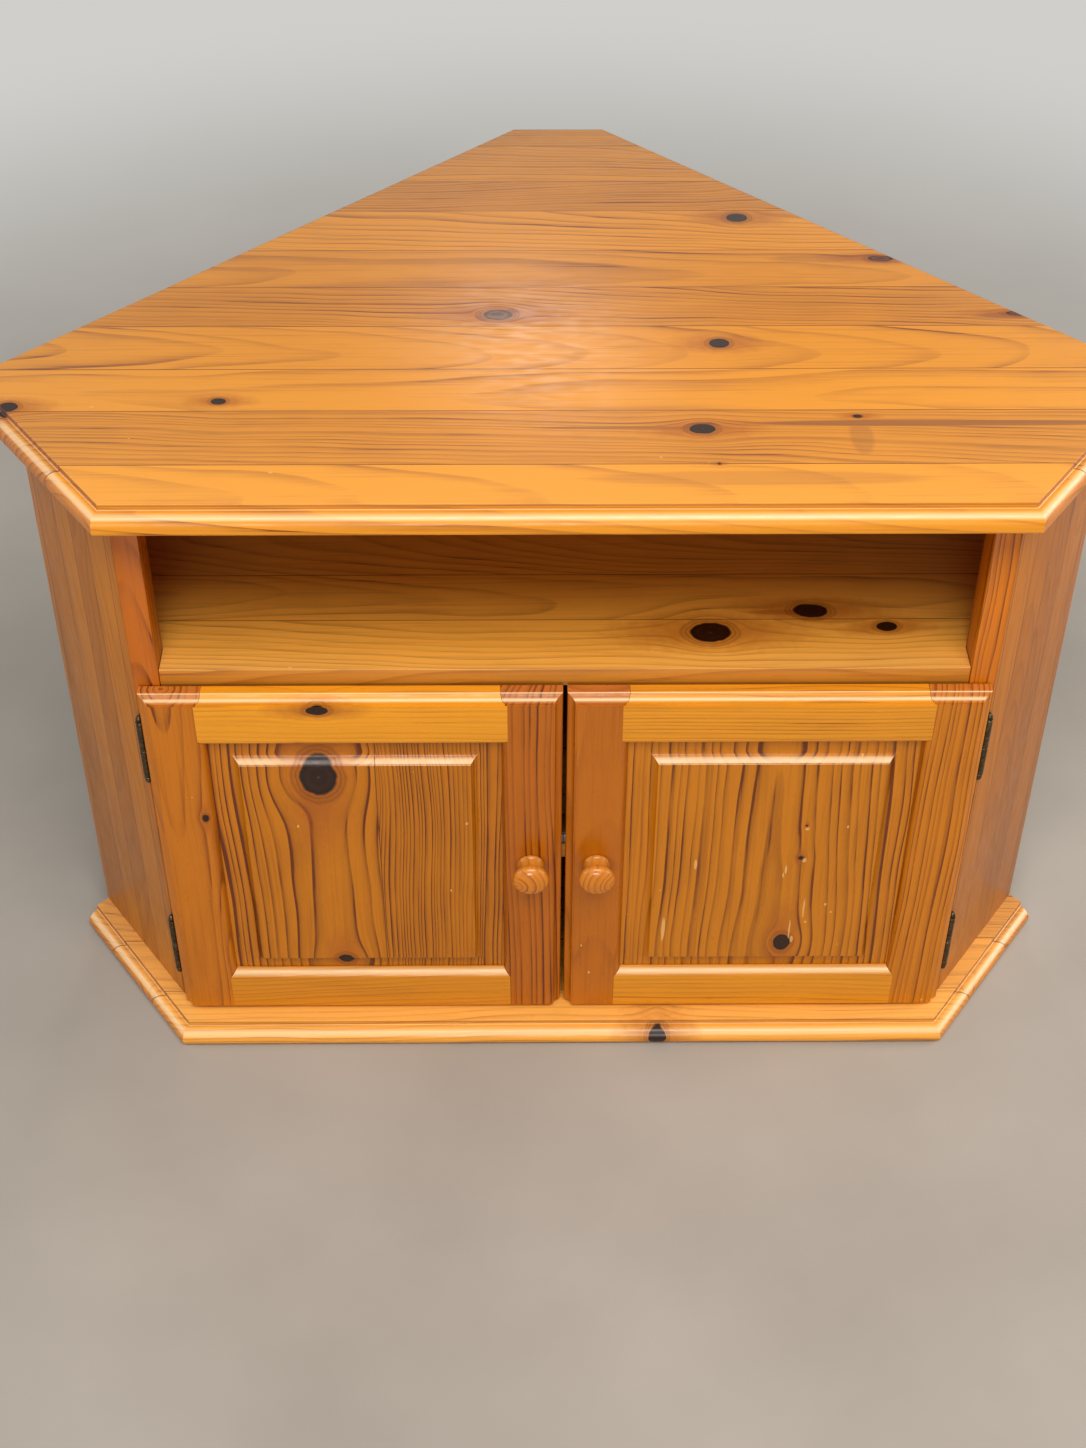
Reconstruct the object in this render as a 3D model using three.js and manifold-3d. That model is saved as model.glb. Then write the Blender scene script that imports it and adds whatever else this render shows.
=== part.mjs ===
// Corner television cabinet in lacquered pine.
// A splayed carcass stands between a moulded top and a moulded base. An open bay for players lies above a
// cupboard, closed by two frame-and-panel doors on flush hinges with barrel knuckles.
// Lengths are millimetres. X runs along the front, Y from the front to the corner of the room, Z upwards.

import * as THREE from "three";
import { mergeVertices } from "three/addons/utils/BufferGeometryUtils.js";
import Module from "manifold-3d";

const wasm = await Module();
wasm.setup();

// Driving dimensions

const carcassWidth = 720; // front of the carcass, corner to corner
const cabinetHeight = 622;
const splayAngle = THREE.MathUtils.degToRad(54.3); // return panels, turned from the line of the front
const returnLength = 156; // a return panel, from its front corner to the wall
const carcassRearEdge = 56.4; // blunt rear edge of the carcass, wall to wall
const wallOverhang = 36; // top beyond the carcass, towards the walls

const topThickness = 23.6;
const topFrontOverhang = 36; // to the fillet of the moulding, in front of the carcass
const topSideOverhang = 18.8;
const topNose = 10.3; // moulding beyond its fillet

const baseThickness = 23.5;
const baseFrontOverhang = 34.6;
const baseSideOverhang = 13.8;
const baseNose = 11.5;

const filletDrop = 4.6; // upright step at the top of a board's moulding
const shoulderRun = 1.6; // small cove between the step and the nose
const shoulderDrop = 1.2;
const undersideRound = 3;

const sideThickness = 18;
const postWidth = 21.4; // front posts, seen from the front
const postDepth = 32;
const backThickness = 6;
const backLip = 8; // wood left outside the rebate that the back panel lies in
const rearPostDepth = 24;

const shelfThickness = 18;
const shelfSetback = 2.1; // shelf edge behind the face of the posts
const playerShelfTop = 425.5;
const cupboardShelfTop = 222;
const cleatWidth = 18;
const cleatHeight = 18;
const rearCleatLength = 70;
const battenHeight = 20;

const jointGap = 0.3; // between pieces that touch on the real cabinet
const overrun = 2; // cutters past the face that they cut

// Doors

const doorBackGap = 1.8; // door behind its leaf of the hinge
const doorThickness = 17.5;
const doorBottom = 28;
const doorLap = 4; // door top over the edge of the player shelf
const meetingGap = 3.6; // between the two doors
const doorInset = 3.6; // door edge inside the corner of the carcass
const stileFace = 37.5;
const railFace = 39;
const edgeRun = 8.2; // moulding round the sides and top, across the face
const edgeDepth = 7.2;
const edgeFillet = 1.8;
const edgeCoveRun = 1.6;
const edgeCoveDrop = 0.9;
const stickingRun = 6.5; // moulding round the panel, across the face
const stickingDepth = 8;
const grooveFront = 9; // groove for the panel, measured back from the face
const grooveWidth = 5;
const grooveDepth = 9;
const tenonLength = 8;
const panelPlay = 1; // room for the panel to swell in its grooves
const panelBorder = 12.6; // flat border that shows round the raised field
const fieldBevel = 9;
const fieldFillet = 1.2;
const fieldSet = 1.5; // raised field behind the face of the frame

// Knobs

const knobHeight = 216.5;
const knobInset = 27.4; // from the meeting edge of the door
const knobLength = 29;
const knobFootRadius = 10.5;
const knobFootLength = 2.4;
const knobCollarRadius = 11.3;
const knobCollarStart = 4.2;
const knobNeckRadius = 7.6;
const knobNeckLength = 8;
const knobRadius = 16;
const knobBore = 2.3;
const knobBoreDepth = 14;
const screwRadius = 2;
const screwHeadRadius = 3.6;
const screwHeadHeight = 1.5;
const screwTip = 1.2;

// Hinges

const knuckleRadius = 3.1;
const knuckleLength = 30.5;
const pinRadius = 1.4;
const pinClearance = 0.3;
const leafThickness = 1.2;
const leafWidth = 18.5;
const leafRim = 4; // metal left round the notch that the door's leaf lies in
const leafHole = 1.8;
const leafHoleInset = 7; // screw hole from each end of its plate
const finialCollar = 1.2;
const finialNeckRadius = 1.7;
const finialNeck = 0.9;
const finialRadius = 2.7;
const finialLength = 5.6;
const hingeInset = 31; // tip of a finial from the end of the door

// Magnetic catch

const catchWidth = 48;
const catchDepth = 24;
const catchHeight = 15;
const catchEar = 9; // low fixing flange at each end
const catchEarHeight = 3;
const magnetWidth = 13;
const magnetHeight = 9;
const magnetDepth = 12;
const magnetSpacing = 13.4; // centre of each magnet from the middle
const strikeWidth = 15;
const strikeHeight = 16;
const strikeHole = 1.8;
const strikeCorner = 3;

// Facets on round work

const turnedSides = 32;
const hingeSides = 20;
const holeSides = 16;
const curveSteps = 5;
const noseSteps = 8;

// Shares that shape the curves

const bellyShare = 0.52; // part of the nose's height over which it swells
const crownShare = 0.58; // pull of a round towards its corner
const stickingShares = [0.25, 0.2]; // run and depth of the handle that rounds the inner moulding
const bevelShares = [0.62, 0.12]; // run and rise of the handle that hollows the bevel
const headShares = [0.2, 0.5, 0.16, 0.7]; // round of the knob's head, from its crown to its neck
const finialShares = [0.55, 0.62, 0.8, 0.4]; // ball of a finial, from its waist to its tip

// Places that follow from the sizes

const halfWidth = carcassWidth / 2;
const sine = Math.sin(splayAngle);
const cosine = Math.cos(splayAngle);
const wallSum = halfWidth + returnLength * (sine + cosine); // x + y along a wall face of the carcass
const carcassDepth = wallSum - carcassRearEdge / 2;
const topDepth = carcassDepth + wallOverhang; // carcass front to the top's blunt rear edge
const boardUnderside = cabinetHeight - topThickness;

const doorBack = -doorBackGap;
const doorFront = doorBack - doorThickness;
const doorTop = playerShelfTop - shelfThickness + doorLap;
const doorEdge = halfWidth - doorInset;
const doorMeet = meetingGap / 2;
const stileWidth = edgeRun + stileFace + stickingRun;
const knobX = doorMeet + knobInset;
const hingeX = doorEdge + jointGap + knuckleRadius;
const hingeY = -jointGap - knuckleRadius;
const finialReach = jointGap + finialCollar + finialNeck + finialLength;
const hingeHalf = knuckleLength + jointGap / 2 + finialReach;

const frontReach = Math.min(doorFront - jointGap - knobLength, -topFrontOverhang - topNose);
const centreY = (topDepth + frontReach) / 2;

// Materials

function wood(colour, roughness) {
  return new THREE.MeshStandardMaterial({ color: colour, roughness, metalness: 0 });
}

function metal(colour, roughness) {
  return new THREE.MeshStandardMaterial({ color: colour, roughness, metalness: 1 });
}

const finishes = {
  board: () => wood("#d98e34", 0.28),
  side: () => wood("#a9743f", 0.36),
  stile: () => wood("#bd7428", 0.3),
  rail: () => wood("#dc9c3c", 0.28),
  panel: () => wood("#b56c25", 0.3),
  shelf: () => wood("#c9903f", 0.34),
  inner: () => wood("#c49a5c", 0.6),
  plywood: () => wood("#c3a374", 0.7),
  knob: () => wood("#d58b3c", 0.22),
  bronze: () => metal("#3b3528", 0.45),
  steel: () => metal("#b4b0a6", 0.35),
  plastic: () => wood("#5a3d22", 0.5),
};

// Solids

function solidFrom(geometry) {
  const positions = new THREE.BufferGeometry();
  const source = geometry.index ? geometry.toNonIndexed() : geometry;
  positions.setAttribute("position", source.getAttribute("position"));
  const merged = mergeVertices(positions, 1e-4);
  const mesh = new wasm.Mesh({
    numProp: 3,
    vertProperties: merged.attributes.position.array,
    triVerts: new Uint32Array(merged.index.array),
  });
  return new wasm.Manifold(mesh);
}

function geometryFrom(solid) {
  const mesh = solid.getMesh();
  const positions = new Float32Array(mesh.numVert * 3);
  for (let i = 0; i < mesh.numVert; i += 1) {
    const start = i * mesh.numProp;
    positions.set(mesh.vertProperties.subarray(start, start + 3), i * 3);
  }
  const indexed = new THREE.BufferGeometry();
  indexed.setAttribute("position", new THREE.BufferAttribute(positions, 3));
  indexed.setIndex(new THREE.BufferAttribute(new Uint32Array(mesh.triVerts), 1));
  const geometry = indexed.toNonIndexed();
  geometry.computeVertexNormals();
  return geometry;
}

function cut(body, ...tools) {
  return tools.reduce((left, tool) => left.subtract(tool), body);
}

// A closed solid through convex rings of corners, each ring counter-clockwise seen from the end of the stack.
function loft(rings) {
  const count = rings[0].length;
  const positions = rings.flat().flatMap((corner) => corner.toArray());
  const faces = [];
  for (let ring = 0; ring + 1 < rings.length; ring += 1) {
    for (let i = 0; i < count; i += 1) {
      const next = (i + 1) % count;
      const low = ring * count;
      const high = low + count;
      faces.push(low + i, low + next, high + next);
      faces.push(low + i, high + next, high + i);
    }
  }
  const last = (rings.length - 1) * count;
  for (let i = 1; i + 1 < count; i += 1) {
    faces.push(0, i + 1, i);
    faces.push(last, last + i, last + i + 1);
  }
  const geometry = new THREE.BufferGeometry();
  geometry.setAttribute("position", new THREE.Float32BufferAttribute(positions, 3));
  geometry.setIndex(faces);
  return geometry.toNonIndexed();
}

// An upright solid from corners in plan.
function prism(corners, bottom, top) {
  const shape = new THREE.Shape(corners.map(([x, y]) => new THREE.Vector2(x, y)));
  const geometry = new THREE.ExtrudeGeometry(shape, { depth: top - bottom, bevelEnabled: false });
  return geometry.translate(0, 0, bottom);
}

function block(x0, x1, y0, y1, z0, z1) {
  const geometry = new THREE.BoxGeometry(x1 - x0, y1 - y0, z1 - z0);
  return geometry.translate((x0 + x1) / 2, (y0 + y1) / 2, (z0 + z1) / 2);
}

// A round bar along Y, from y0 to y1.
function barAlongY(x, z, radius, y0, y1, sides) {
  const geometry = new THREE.CylinderGeometry(radius, radius, y1 - y0, sides);
  return geometry.translate(0, (y0 + y1) / 2, 0).translate(x, 0, z);
}

// A round bar along Z, from z0 to z1.
function barAlongZ(x, y, radius, z0, z1, sides) {
  const geometry = new THREE.CylinderGeometry(radius, radius, z1 - z0, sides);
  return geometry.rotateX(Math.PI / 2).translate(x, y, (z0 + z1) / 2);
}

// The assembly

const cabinet = new THREE.Group();

function add(name, geometry, finish) {
  const mesh = new THREE.Mesh(geometry, finishes[finish]());
  mesh.name = name;
  cabinet.add(mesh);
  return mesh;
}

// One piece for the right hand and its mirror image for the left.
function addPair(name, geometry, finish) {
  add("right_" + name, geometry, finish);
  const left = add("left_" + name, geometry.clone(), finish);
  left.scale.x = -1;
}

// Plan of the carcass

// x of a line parallel to the right return face, moved out by offset.
function returnX(y, offset) {
  return halfWidth + (offset + y * cosine) / sine;
}

// x of a line parallel to the right wall face, moved out by offset.
function wallX(y, offset) {
  return wallSum + offset * Math.SQRT2 - y;
}

// Depth at which those two lines meet.
function meetY(sideOffset, wallOffset) {
  const reach = wallSum + wallOffset * Math.SQRT2 - halfWidth - sideOffset / sine;
  return reach / (1 + cosine / sine);
}

// Corners of the right half, front to back, joined to their mirror image.
function bothHands(right) {
  const left = right.map(([x, y]) => [-x, y]).reverse();
  return [...right, ...left];
}

// The six corners of a board: front, splayed returns, walls and the blunt rear edge.
function boardCorners(front, side, wall, back) {
  const shoulder = meetY(side, wall);
  const right = [
    [returnX(-front, side), -front],
    [returnX(shoulder, side), shoulder],
    [wallX(back, wall), back],
  ];
  return bothHands(right);
}

// Top and base, with a moulding run along the front and both returns

// Reach of the moulding beyond its fillet and the drop below the face, from the top of the board downwards.
function nosing(thickness, nose) {
  const rise = filletDrop + shoulderDrop;
  const profile = new THREE.Path();
  profile.moveTo(0, 0);
  profile.lineTo(0, -filletDrop);
  profile.quadraticCurveTo(0, -rise, shoulderRun, -rise);
  const swell = (thickness - rise) * bellyShare;
  profile.bezierCurveTo(
    nose * crownShare,
    -rise,
    nose,
    -rise - swell * crownShare,
    nose,
    -rise - swell,
  );
  profile.lineTo(nose, -thickness + undersideRound);
  profile.quadraticCurveTo(nose, -thickness, nose - undersideRound, -thickness);
  return profile.getPoints(noseSteps);
}

function mouldedBoard(size) {
  const rings = nosing(size.thickness, size.nose).map(({ x: reach, y: drop }) => {
    const corners = boardCorners(size.front + reach, size.side + reach, size.wall, size.back);
    return corners.map(([x, y]) => new THREE.Vector3(x, y, size.top + drop));
  });
  return loft(rings.reverse());
}

function addTop() {
  const size = {
    top: cabinetHeight,
    thickness: topThickness,
    nose: topNose,
    front: topFrontOverhang,
    side: topSideOverhang,
    wall: wallOverhang,
    back: topDepth,
  };
  add("top_board", mouldedBoard(size), "board");
}

function addBase() {
  const size = {
    top: baseThickness,
    thickness: baseThickness,
    nose: baseNose,
    front: baseFrontOverhang,
    side: baseSideOverhang,
    wall: 0,
    back: carcassDepth,
  };
  add("base_board", mouldedBoard(size), "board");
}

// Carcass: return panels mitred to the front posts, rear post and back panels

// The mitre halves the angle between the front and a return face.
const mitreSlope = (1 - cosine) / sine; // sideways run for each unit of depth

function addReturns() {
  const bottom = baseThickness + jointGap;
  const top = boardUnderside - jointGap;
  const mitreGap = jointGap / 2 / Math.cos(Math.atan(mitreSlope));

  const mitreDepth = sideThickness; // the mitre ends where the inner faces meet
  const outerFront = mitreGap * sine; // the mitre, moved by half its gap, meets the return face here
  const outerRear = meetY(0, 0);
  const rebate = backThickness + jointGap;
  const step = rebate / Math.SQRT2;
  const lip = backLip / Math.SQRT2;
  const innerRear = meetY(-sideThickness, -rebate);
  const side = [
    [returnX(outerFront, 0), outerFront],
    [returnX(outerRear, 0), outerRear],
    [wallX(outerRear + lip, 0), outerRear + lip],
    [wallX(outerRear + lip, 0) - step, outerRear + lip - step],
    [returnX(innerRear, -sideThickness), innerRear],
    [halfWidth - mitreDepth * mitreSlope + mitreGap, mitreDepth],
  ];
  addPair("return_panel", prism(side, bottom, top), "side");

  const postInner = halfWidth - postWidth;
  const behind = -sideThickness - jointGap;
  const post = [
    [postInner, 0],
    [halfWidth - mitreGap, 0],
    [halfWidth - mitreDepth * mitreSlope - mitreGap, mitreDepth],
    [returnX(mitreDepth + jointGap, behind), mitreDepth + jointGap],
    [returnX(postDepth, behind), postDepth],
    [postInner, postDepth],
  ];
  addPair("front_post", prism(post, bottom, top), "stile");
}

function addBack() {
  const bottom = baseThickness + jointGap;
  const top = boardUnderside - jointGap;
  const rebate = backThickness + jointGap;
  const lip = backLip / Math.SQRT2;
  const step = rebate / Math.SQRT2;
  const rearX = wallX(carcassDepth, 0);
  const postFront = carcassDepth - rearPostDepth;
  const right = [
    [wallX(postFront, -rebate), postFront],
    [rearX + lip - step, carcassDepth - lip - step],
    [rearX + lip, carcassDepth - lip],
    [rearX, carcassDepth],
  ];
  add("rear_post", prism(bothHands(right), bottom, top), "inner");

  const seam = jointGap / Math.SQRT2;
  const near = meetY(0, 0) + lip + seam;
  const far = carcassDepth - lip - seam;
  const thick = backThickness / Math.SQRT2;
  const panel = [
    [wallX(near, 0), near],
    [wallX(far, 0), far],
    [wallX(far, 0) - thick, far - thick],
    [wallX(near, 0) - thick, near - thick],
  ];
  addPair("back_panel", prism(panel, bottom, top), "plywood");
}

// Shelves, notched round the front posts, on cleats

function addShelf(name, top) {
  const inside = -sideThickness - jointGap;
  const wall = -backThickness - 2 * jointGap;
  const back = carcassDepth - rearPostDepth - jointGap;
  const front = halfWidth - postWidth - jointGap;
  const notch = postDepth + jointGap;
  const shoulder = meetY(inside, wall);
  const right = [
    [front, shelfSetback],
    [front, notch],
    [returnX(notch, inside), notch],
    [returnX(shoulder, inside), shoulder],
    [wallX(back, wall), back],
  ];
  add(name, prism(bothHands(right), top - shelfThickness, top), "shelf");
}

// A strip along the inside of the right return panel, from the post to the back.
function sideStrip(width, bottom, top) {
  const outer = -sideThickness - jointGap;
  const inner = outer - width;
  const wall = -backThickness - 2 * jointGap;
  const front = postDepth + jointGap;
  const corners = [
    [returnX(front, inner), front],
    [returnX(front, outer), front],
    [returnX(meetY(outer, wall), outer), meetY(outer, wall)],
    [returnX(meetY(inner, wall), inner), meetY(inner, wall)],
  ];
  return prism(corners, bottom, top);
}

function addCleats(name, shelfTop) {
  const top = shelfTop - shelfThickness - jointGap;
  addPair(name + "_cleat", sideStrip(cleatWidth, top - cleatHeight, top), "inner");
  const back = carcassDepth - rearPostDepth - jointGap;
  const half = rearCleatLength / 2;
  add("rear_" + name + "_cleat", block(-half, half, back - cleatWidth, back, top - cleatHeight, top), "inner");
}

function addBattens() {
  const top = boardUnderside - jointGap;
  addPair("top_batten", sideStrip(cleatWidth, top - battenHeight, top), "inner");
}

// Doors

// Inset from the face and depth behind it, from the edge of the door to its face.
function edgeProfile() {
  const profile = new THREE.Path();
  profile.moveTo(0, edgeDepth);
  profile.bezierCurveTo(
    0,
    edgeDepth - (edgeDepth - edgeFillet - edgeCoveDrop) * crownShare,
    (edgeRun - edgeCoveRun) * (1 - crownShare),
    edgeFillet + edgeCoveDrop,
    edgeRun - edgeCoveRun,
    edgeFillet + edgeCoveDrop,
  );
  profile.quadraticCurveTo(edgeRun, edgeFillet + edgeCoveDrop, edgeRun, edgeFillet);
  profile.lineTo(edgeRun, 0);
  return profile.getPoints(curveSteps);
}

function uprightRing(x0, x1, z0, z1, y) {
  return [
    new THREE.Vector3(x0, y, z0),
    new THREE.Vector3(x1, y, z0),
    new THREE.Vector3(x1, y, z1),
    new THREE.Vector3(x0, y, z1),
  ];
}

// The outside of a whole door: moulded sides and top, plain bottom.
function doorBlank() {
  const back = uprightRing(doorMeet, doorEdge, doorBottom, doorTop, doorBack);
  const moulded = edgeProfile().map(({ x: inset, y: depth }) =>
    uprightRing(doorMeet + inset, doorEdge - inset, doorBottom, doorTop - inset, doorFront + depth),
  );
  return solidFrom(loft([back, ...moulded]));
}

// Section of a frame member: run is measured in from its outer edge, depth back from its face.
function frameSection(width, edge) {
  const section = new THREE.Shape();
  section.moveTo(0, doorThickness);
  section.lineTo(0, 0);
  section.lineTo(width - stickingRun, 0);
  section.quadraticCurveTo(
    width - stickingRun * stickingShares[0],
    stickingDepth * stickingShares[1],
    width,
    stickingDepth,
  );
  section.lineTo(width, grooveFront);
  section.lineTo(width - grooveDepth, grooveFront);
  section.lineTo(width - grooveDepth, grooveFront + grooveWidth);
  section.lineTo(width, grooveFront + grooveWidth);
  section.lineTo(width, doorThickness);
  section.closePath();
  const length = edge.end - edge.start;
  const geometry = new THREE.ExtrudeGeometry(section, {
    depth: length,
    bevelEnabled: false,
    curveSegments: curveSteps,
  });
  return geometry.translate(0, 0, edge.start);
}

// Axes that carry a section: where its run, depth and length point, and where its outer corner lies.
function placed(geometry, run, along, origin) {
  const depth = new THREE.Vector3(0, 1, 0);
  const matrix = new THREE.Matrix4().makeBasis(run, depth, along).setPosition(origin);
  const solid = geometry.clone().applyMatrix4(matrix);
  if (matrix.determinant() > 0) return solidFrom(solid);
  const position = solid.getAttribute("position");
  const flipped = new THREE.BufferGeometry();
  const corners = [];
  for (let i = 0; i < position.count; i += 3) {
    for (const k of [i, i + 2, i + 1]) {
      corners.push(position.getX(k), position.getY(k), position.getZ(k));
    }
  }
  flipped.setAttribute("position", new THREE.Float32BufferAttribute(corners, 3));
  return solidFrom(flipped);
}

function addDoor() {
  const blank = doorBlank();
  const left = new THREE.Vector3(-1, 0, 0);
  const right = new THREE.Vector3(1, 0, 0);
  const down = new THREE.Vector3(0, 0, -1);
  const up = new THREE.Vector3(0, 0, 1);

  const tall = { start: doorBottom - overrun, end: doorTop + overrun };
  const stile = frameSection(stileWidth, tall);
  const hingeSide = placed(stile, left, up, new THREE.Vector3(doorEdge, doorFront, 0));
  const meetingSide = placed(stile, right, up, new THREE.Vector3(doorMeet, doorFront, 0));

  const knobHole = solidFrom(
    barAlongY(knobX, knobHeight, knobBore, doorFront - overrun, doorBack + overrun, holeSides),
  );
  addPair("door_hinge_stile", geometryFrom(hingeSide.intersect(blank)), "stile");
  addPair("door_meeting_stile", geometryFrom(cut(meetingSide.intersect(blank), knobHole)), "stile");

  // The rails are scribed over the moulding of the stiles, with a stub tenon in each groove.
  const innerEdge = doorEdge - stileWidth;
  const innerMeet = doorMeet + stileWidth;
  const wide = { start: innerMeet - tenonLength, end: innerEdge + tenonLength };
  const scribe = [
    ...[-jointGap, jointGap].map((shift) => hingeSide.translate([-jointGap, shift, 0])),
    ...[-jointGap, jointGap].map((shift) => meetingSide.translate([jointGap, shift, 0])),
  ];
  const topRail = placed(
    frameSection(edgeRun + railFace + stickingRun, wide),
    down,
    right,
    new THREE.Vector3(0, doorFront, doorTop),
  );
  const bottomRail = placed(
    frameSection(railFace + stickingRun, wide),
    up,
    right,
    new THREE.Vector3(0, doorFront, doorBottom),
  );
  addPair("door_top_rail", geometryFrom(cut(topRail.intersect(blank), ...scribe)), "rail");
  addPair("door_bottom_rail", geometryFrom(cut(bottomRail.intersect(blank), ...scribe)), "rail");

  addPair("door_panel", raisedPanel(), "panel");
}

// The panel: a tongue in the grooves, a flat border, a coved bevel with a fillet, and the raised field.
function raisedPanel() {
  const sight = {
    x0: doorMeet + stileWidth,
    x1: doorEdge - stileWidth,
    z0: doorBottom + railFace + stickingRun,
    z1: doorTop - edgeRun - railFace - stickingRun,
  };
  const ring = (inset, y) =>
    uprightRing(sight.x0 + inset, sight.x1 - inset, sight.z0 + inset, sight.z1 - inset, y);
  const tongue = panelPlay - grooveDepth;
  const tongueBack = doorFront + grooveFront + grooveWidth - jointGap;
  const tongueFront = doorFront + grooveFront + jointGap;
  const field = doorFront + fieldSet;
  const bevel = new THREE.Path();
  bevel.moveTo(panelBorder, tongueFront);
  bevel.quadraticCurveTo(
    panelBorder + fieldBevel * bevelShares[0],
    tongueFront - (tongueFront - field) * bevelShares[1],
    panelBorder + fieldBevel,
    field + fieldFillet,
  );
  bevel.lineTo(panelBorder + fieldBevel, field);
  const rise = bevel.getPoints(curveSteps).map(({ x: inset, y }) => ring(inset, y));
  return loft([ring(tongue, tongueBack), ring(tongue, tongueFront), ...rise]);
}

// Turned knob with a foot, a flared collar and a round head, held by a screw through the stile

function addKnob() {
  const headStart = knobNeckLength;
  const headDepth = knobLength - headStart;
  const outline = new THREE.Path();
  outline.moveTo(0, knobLength);
  outline.bezierCurveTo(
    knobRadius * crownShare,
    knobLength,
    knobRadius,
    knobLength - headDepth * headShares[0],
    knobRadius,
    knobLength - headDepth * headShares[1],
  );
  outline.bezierCurveTo(
    knobRadius,
    headStart + headDepth * headShares[2],
    knobNeckRadius + (knobRadius - knobNeckRadius) * headShares[3],
    headStart,
    knobNeckRadius,
    headStart,
  );
  outline.quadraticCurveTo(knobNeckRadius, knobCollarStart, knobCollarRadius, knobCollarStart);
  outline.lineTo(knobCollarRadius, knobFootLength);
  outline.quadraticCurveTo(knobFootRadius, knobFootLength, knobFootRadius, 0);
  outline.lineTo(0, 0);
  const turned = new THREE.LatheGeometry(outline.getPoints(curveSteps).reverse(), turnedSides);
  const foot = doorFront - jointGap;
  turned.rotateX(Math.PI).translate(knobX, foot, knobHeight);
  const bore = barAlongY(knobX, knobHeight, knobBore, foot - knobBoreDepth, foot + overrun, holeSides);
  addPair("knob", geometryFrom(cut(solidFrom(turned), solidFrom(bore))), "knob");

  const headBack = doorBack + jointGap;
  const tip = foot - knobBoreDepth + screwTip;
  const head = new THREE.Path();
  head.moveTo(0, headBack + screwHeadHeight);
  head.quadraticCurveTo(screwHeadRadius, headBack + screwHeadHeight, screwHeadRadius, headBack);
  head.lineTo(screwRadius, headBack);
  head.lineTo(screwRadius, tip + screwRadius);
  head.lineTo(0, tip);
  const screw = new THREE.LatheGeometry(head.getPoints(curveSteps).reverse(), holeSides);
  screw.translate(knobX, 0, knobHeight);
  addPair("knob_screw", screw, "steel");
}

// Flush hinges: the door's leaf lies in a notch of the frame's leaf, so both share one thickness

function addHinge(name, middle) {
  const inner = hingeX - leafWidth;
  const leafBack = -jointGap;
  const leafFront = leafBack - leafThickness;
  const split = jointGap / 2;
  const frameLow = middle - split - knuckleLength;
  const doorHigh = middle + split + knuckleLength;
  const bore = solidFrom(
    barAlongZ(hingeX, hingeY, pinRadius + pinClearance, frameLow - overrun, doorHigh + overrun, hingeSides),
  );
  const holes = (x, heights) =>
    heights.map((z) => solidFrom(barAlongY(x, z, leafHole, leafFront - overrun, leafBack + overrun, holeSides)));

  const plate = solidFrom(block(inner, hingeX, leafFront, leafBack, frameLow, doorHigh));
  const knuckle = solidFrom(barAlongZ(hingeX, hingeY, knuckleRadius, frameLow, middle - split, hingeSides));
  const notch = solidFrom(
    block(inner + leafRim, hingeX + overrun, leafFront - overrun, overrun, middle - split, doorHigh - leafRim),
  );
  const barrelRoom = solidFrom(
    block(
      hingeX - knuckleRadius - jointGap,
      hingeX + overrun,
      leafFront - overrun,
      overrun,
      middle - split,
      doorHigh + overrun,
    ),
  );
  const frameHoles = holes(inner + leafWidth / 2, [frameLow + leafHoleInset, middle - leafHoleInset]);
  const frameLeaf = cut(plate.add(knuckle), notch, barrelRoom, bore, ...frameHoles);
  addPair(name + "_hinge_frame_leaf", geometryFrom(frameLeaf), "bronze");

  const doorInner = inner + leafRim + jointGap;
  const doorLow = middle + split;
  const doorPlate = solidFrom(
    block(doorInner, hingeX, leafFront, leafBack, doorLow, doorHigh - leafRim - jointGap),
  );
  const doorKnuckle = solidFrom(barAlongZ(hingeX, hingeY, knuckleRadius, doorLow, doorHigh, hingeSides));
  const doorHoles = holes((doorInner + hingeX - knuckleRadius) / 2, [
    doorLow + leafHoleInset,
    doorHigh - leafRim - leafHoleInset,
  ]);
  const doorLeaf = cut(doorPlate.add(doorKnuckle), bore, ...doorHoles);
  addPair(name + "_hinge_door_leaf", geometryFrom(doorLeaf), "bronze");

  const half = knuckleLength + split + jointGap;
  const shoulder = half + finialCollar;
  const ball = shoulder + finialNeck;
  const upper = new THREE.Path();
  upper.moveTo(pinRadius, 0);
  upper.lineTo(pinRadius, half);
  upper.lineTo(knuckleRadius, half);
  upper.lineTo(knuckleRadius, shoulder);
  upper.lineTo(finialNeckRadius, shoulder);
  upper.lineTo(finialNeckRadius, ball);
  upper.bezierCurveTo(
    finialRadius,
    ball,
    finialRadius,
    ball + finialLength * finialShares[0],
    finialRadius * finialShares[1],
    ball + finialLength * finialShares[2],
  );
  upper.quadraticCurveTo(finialRadius * finialShares[3], ball + finialLength, 0, ball + finialLength);
  const rising = upper.getPoints(curveSteps);
  const falling = rising
    .slice(1)
    .reverse()
    .map((point) => new THREE.Vector2(point.x, -point.y));
  const pin = new THREE.LatheGeometry([...falling, ...rising.slice(1)], hingeSides);
  pin.rotateX(Math.PI / 2).translate(hingeX, hingeY, middle);
  addPair(name + "_hinge_pin", pin, "bronze");
}

// Double magnetic catch on the cupboard shelf, and a strike plate on each door

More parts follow.
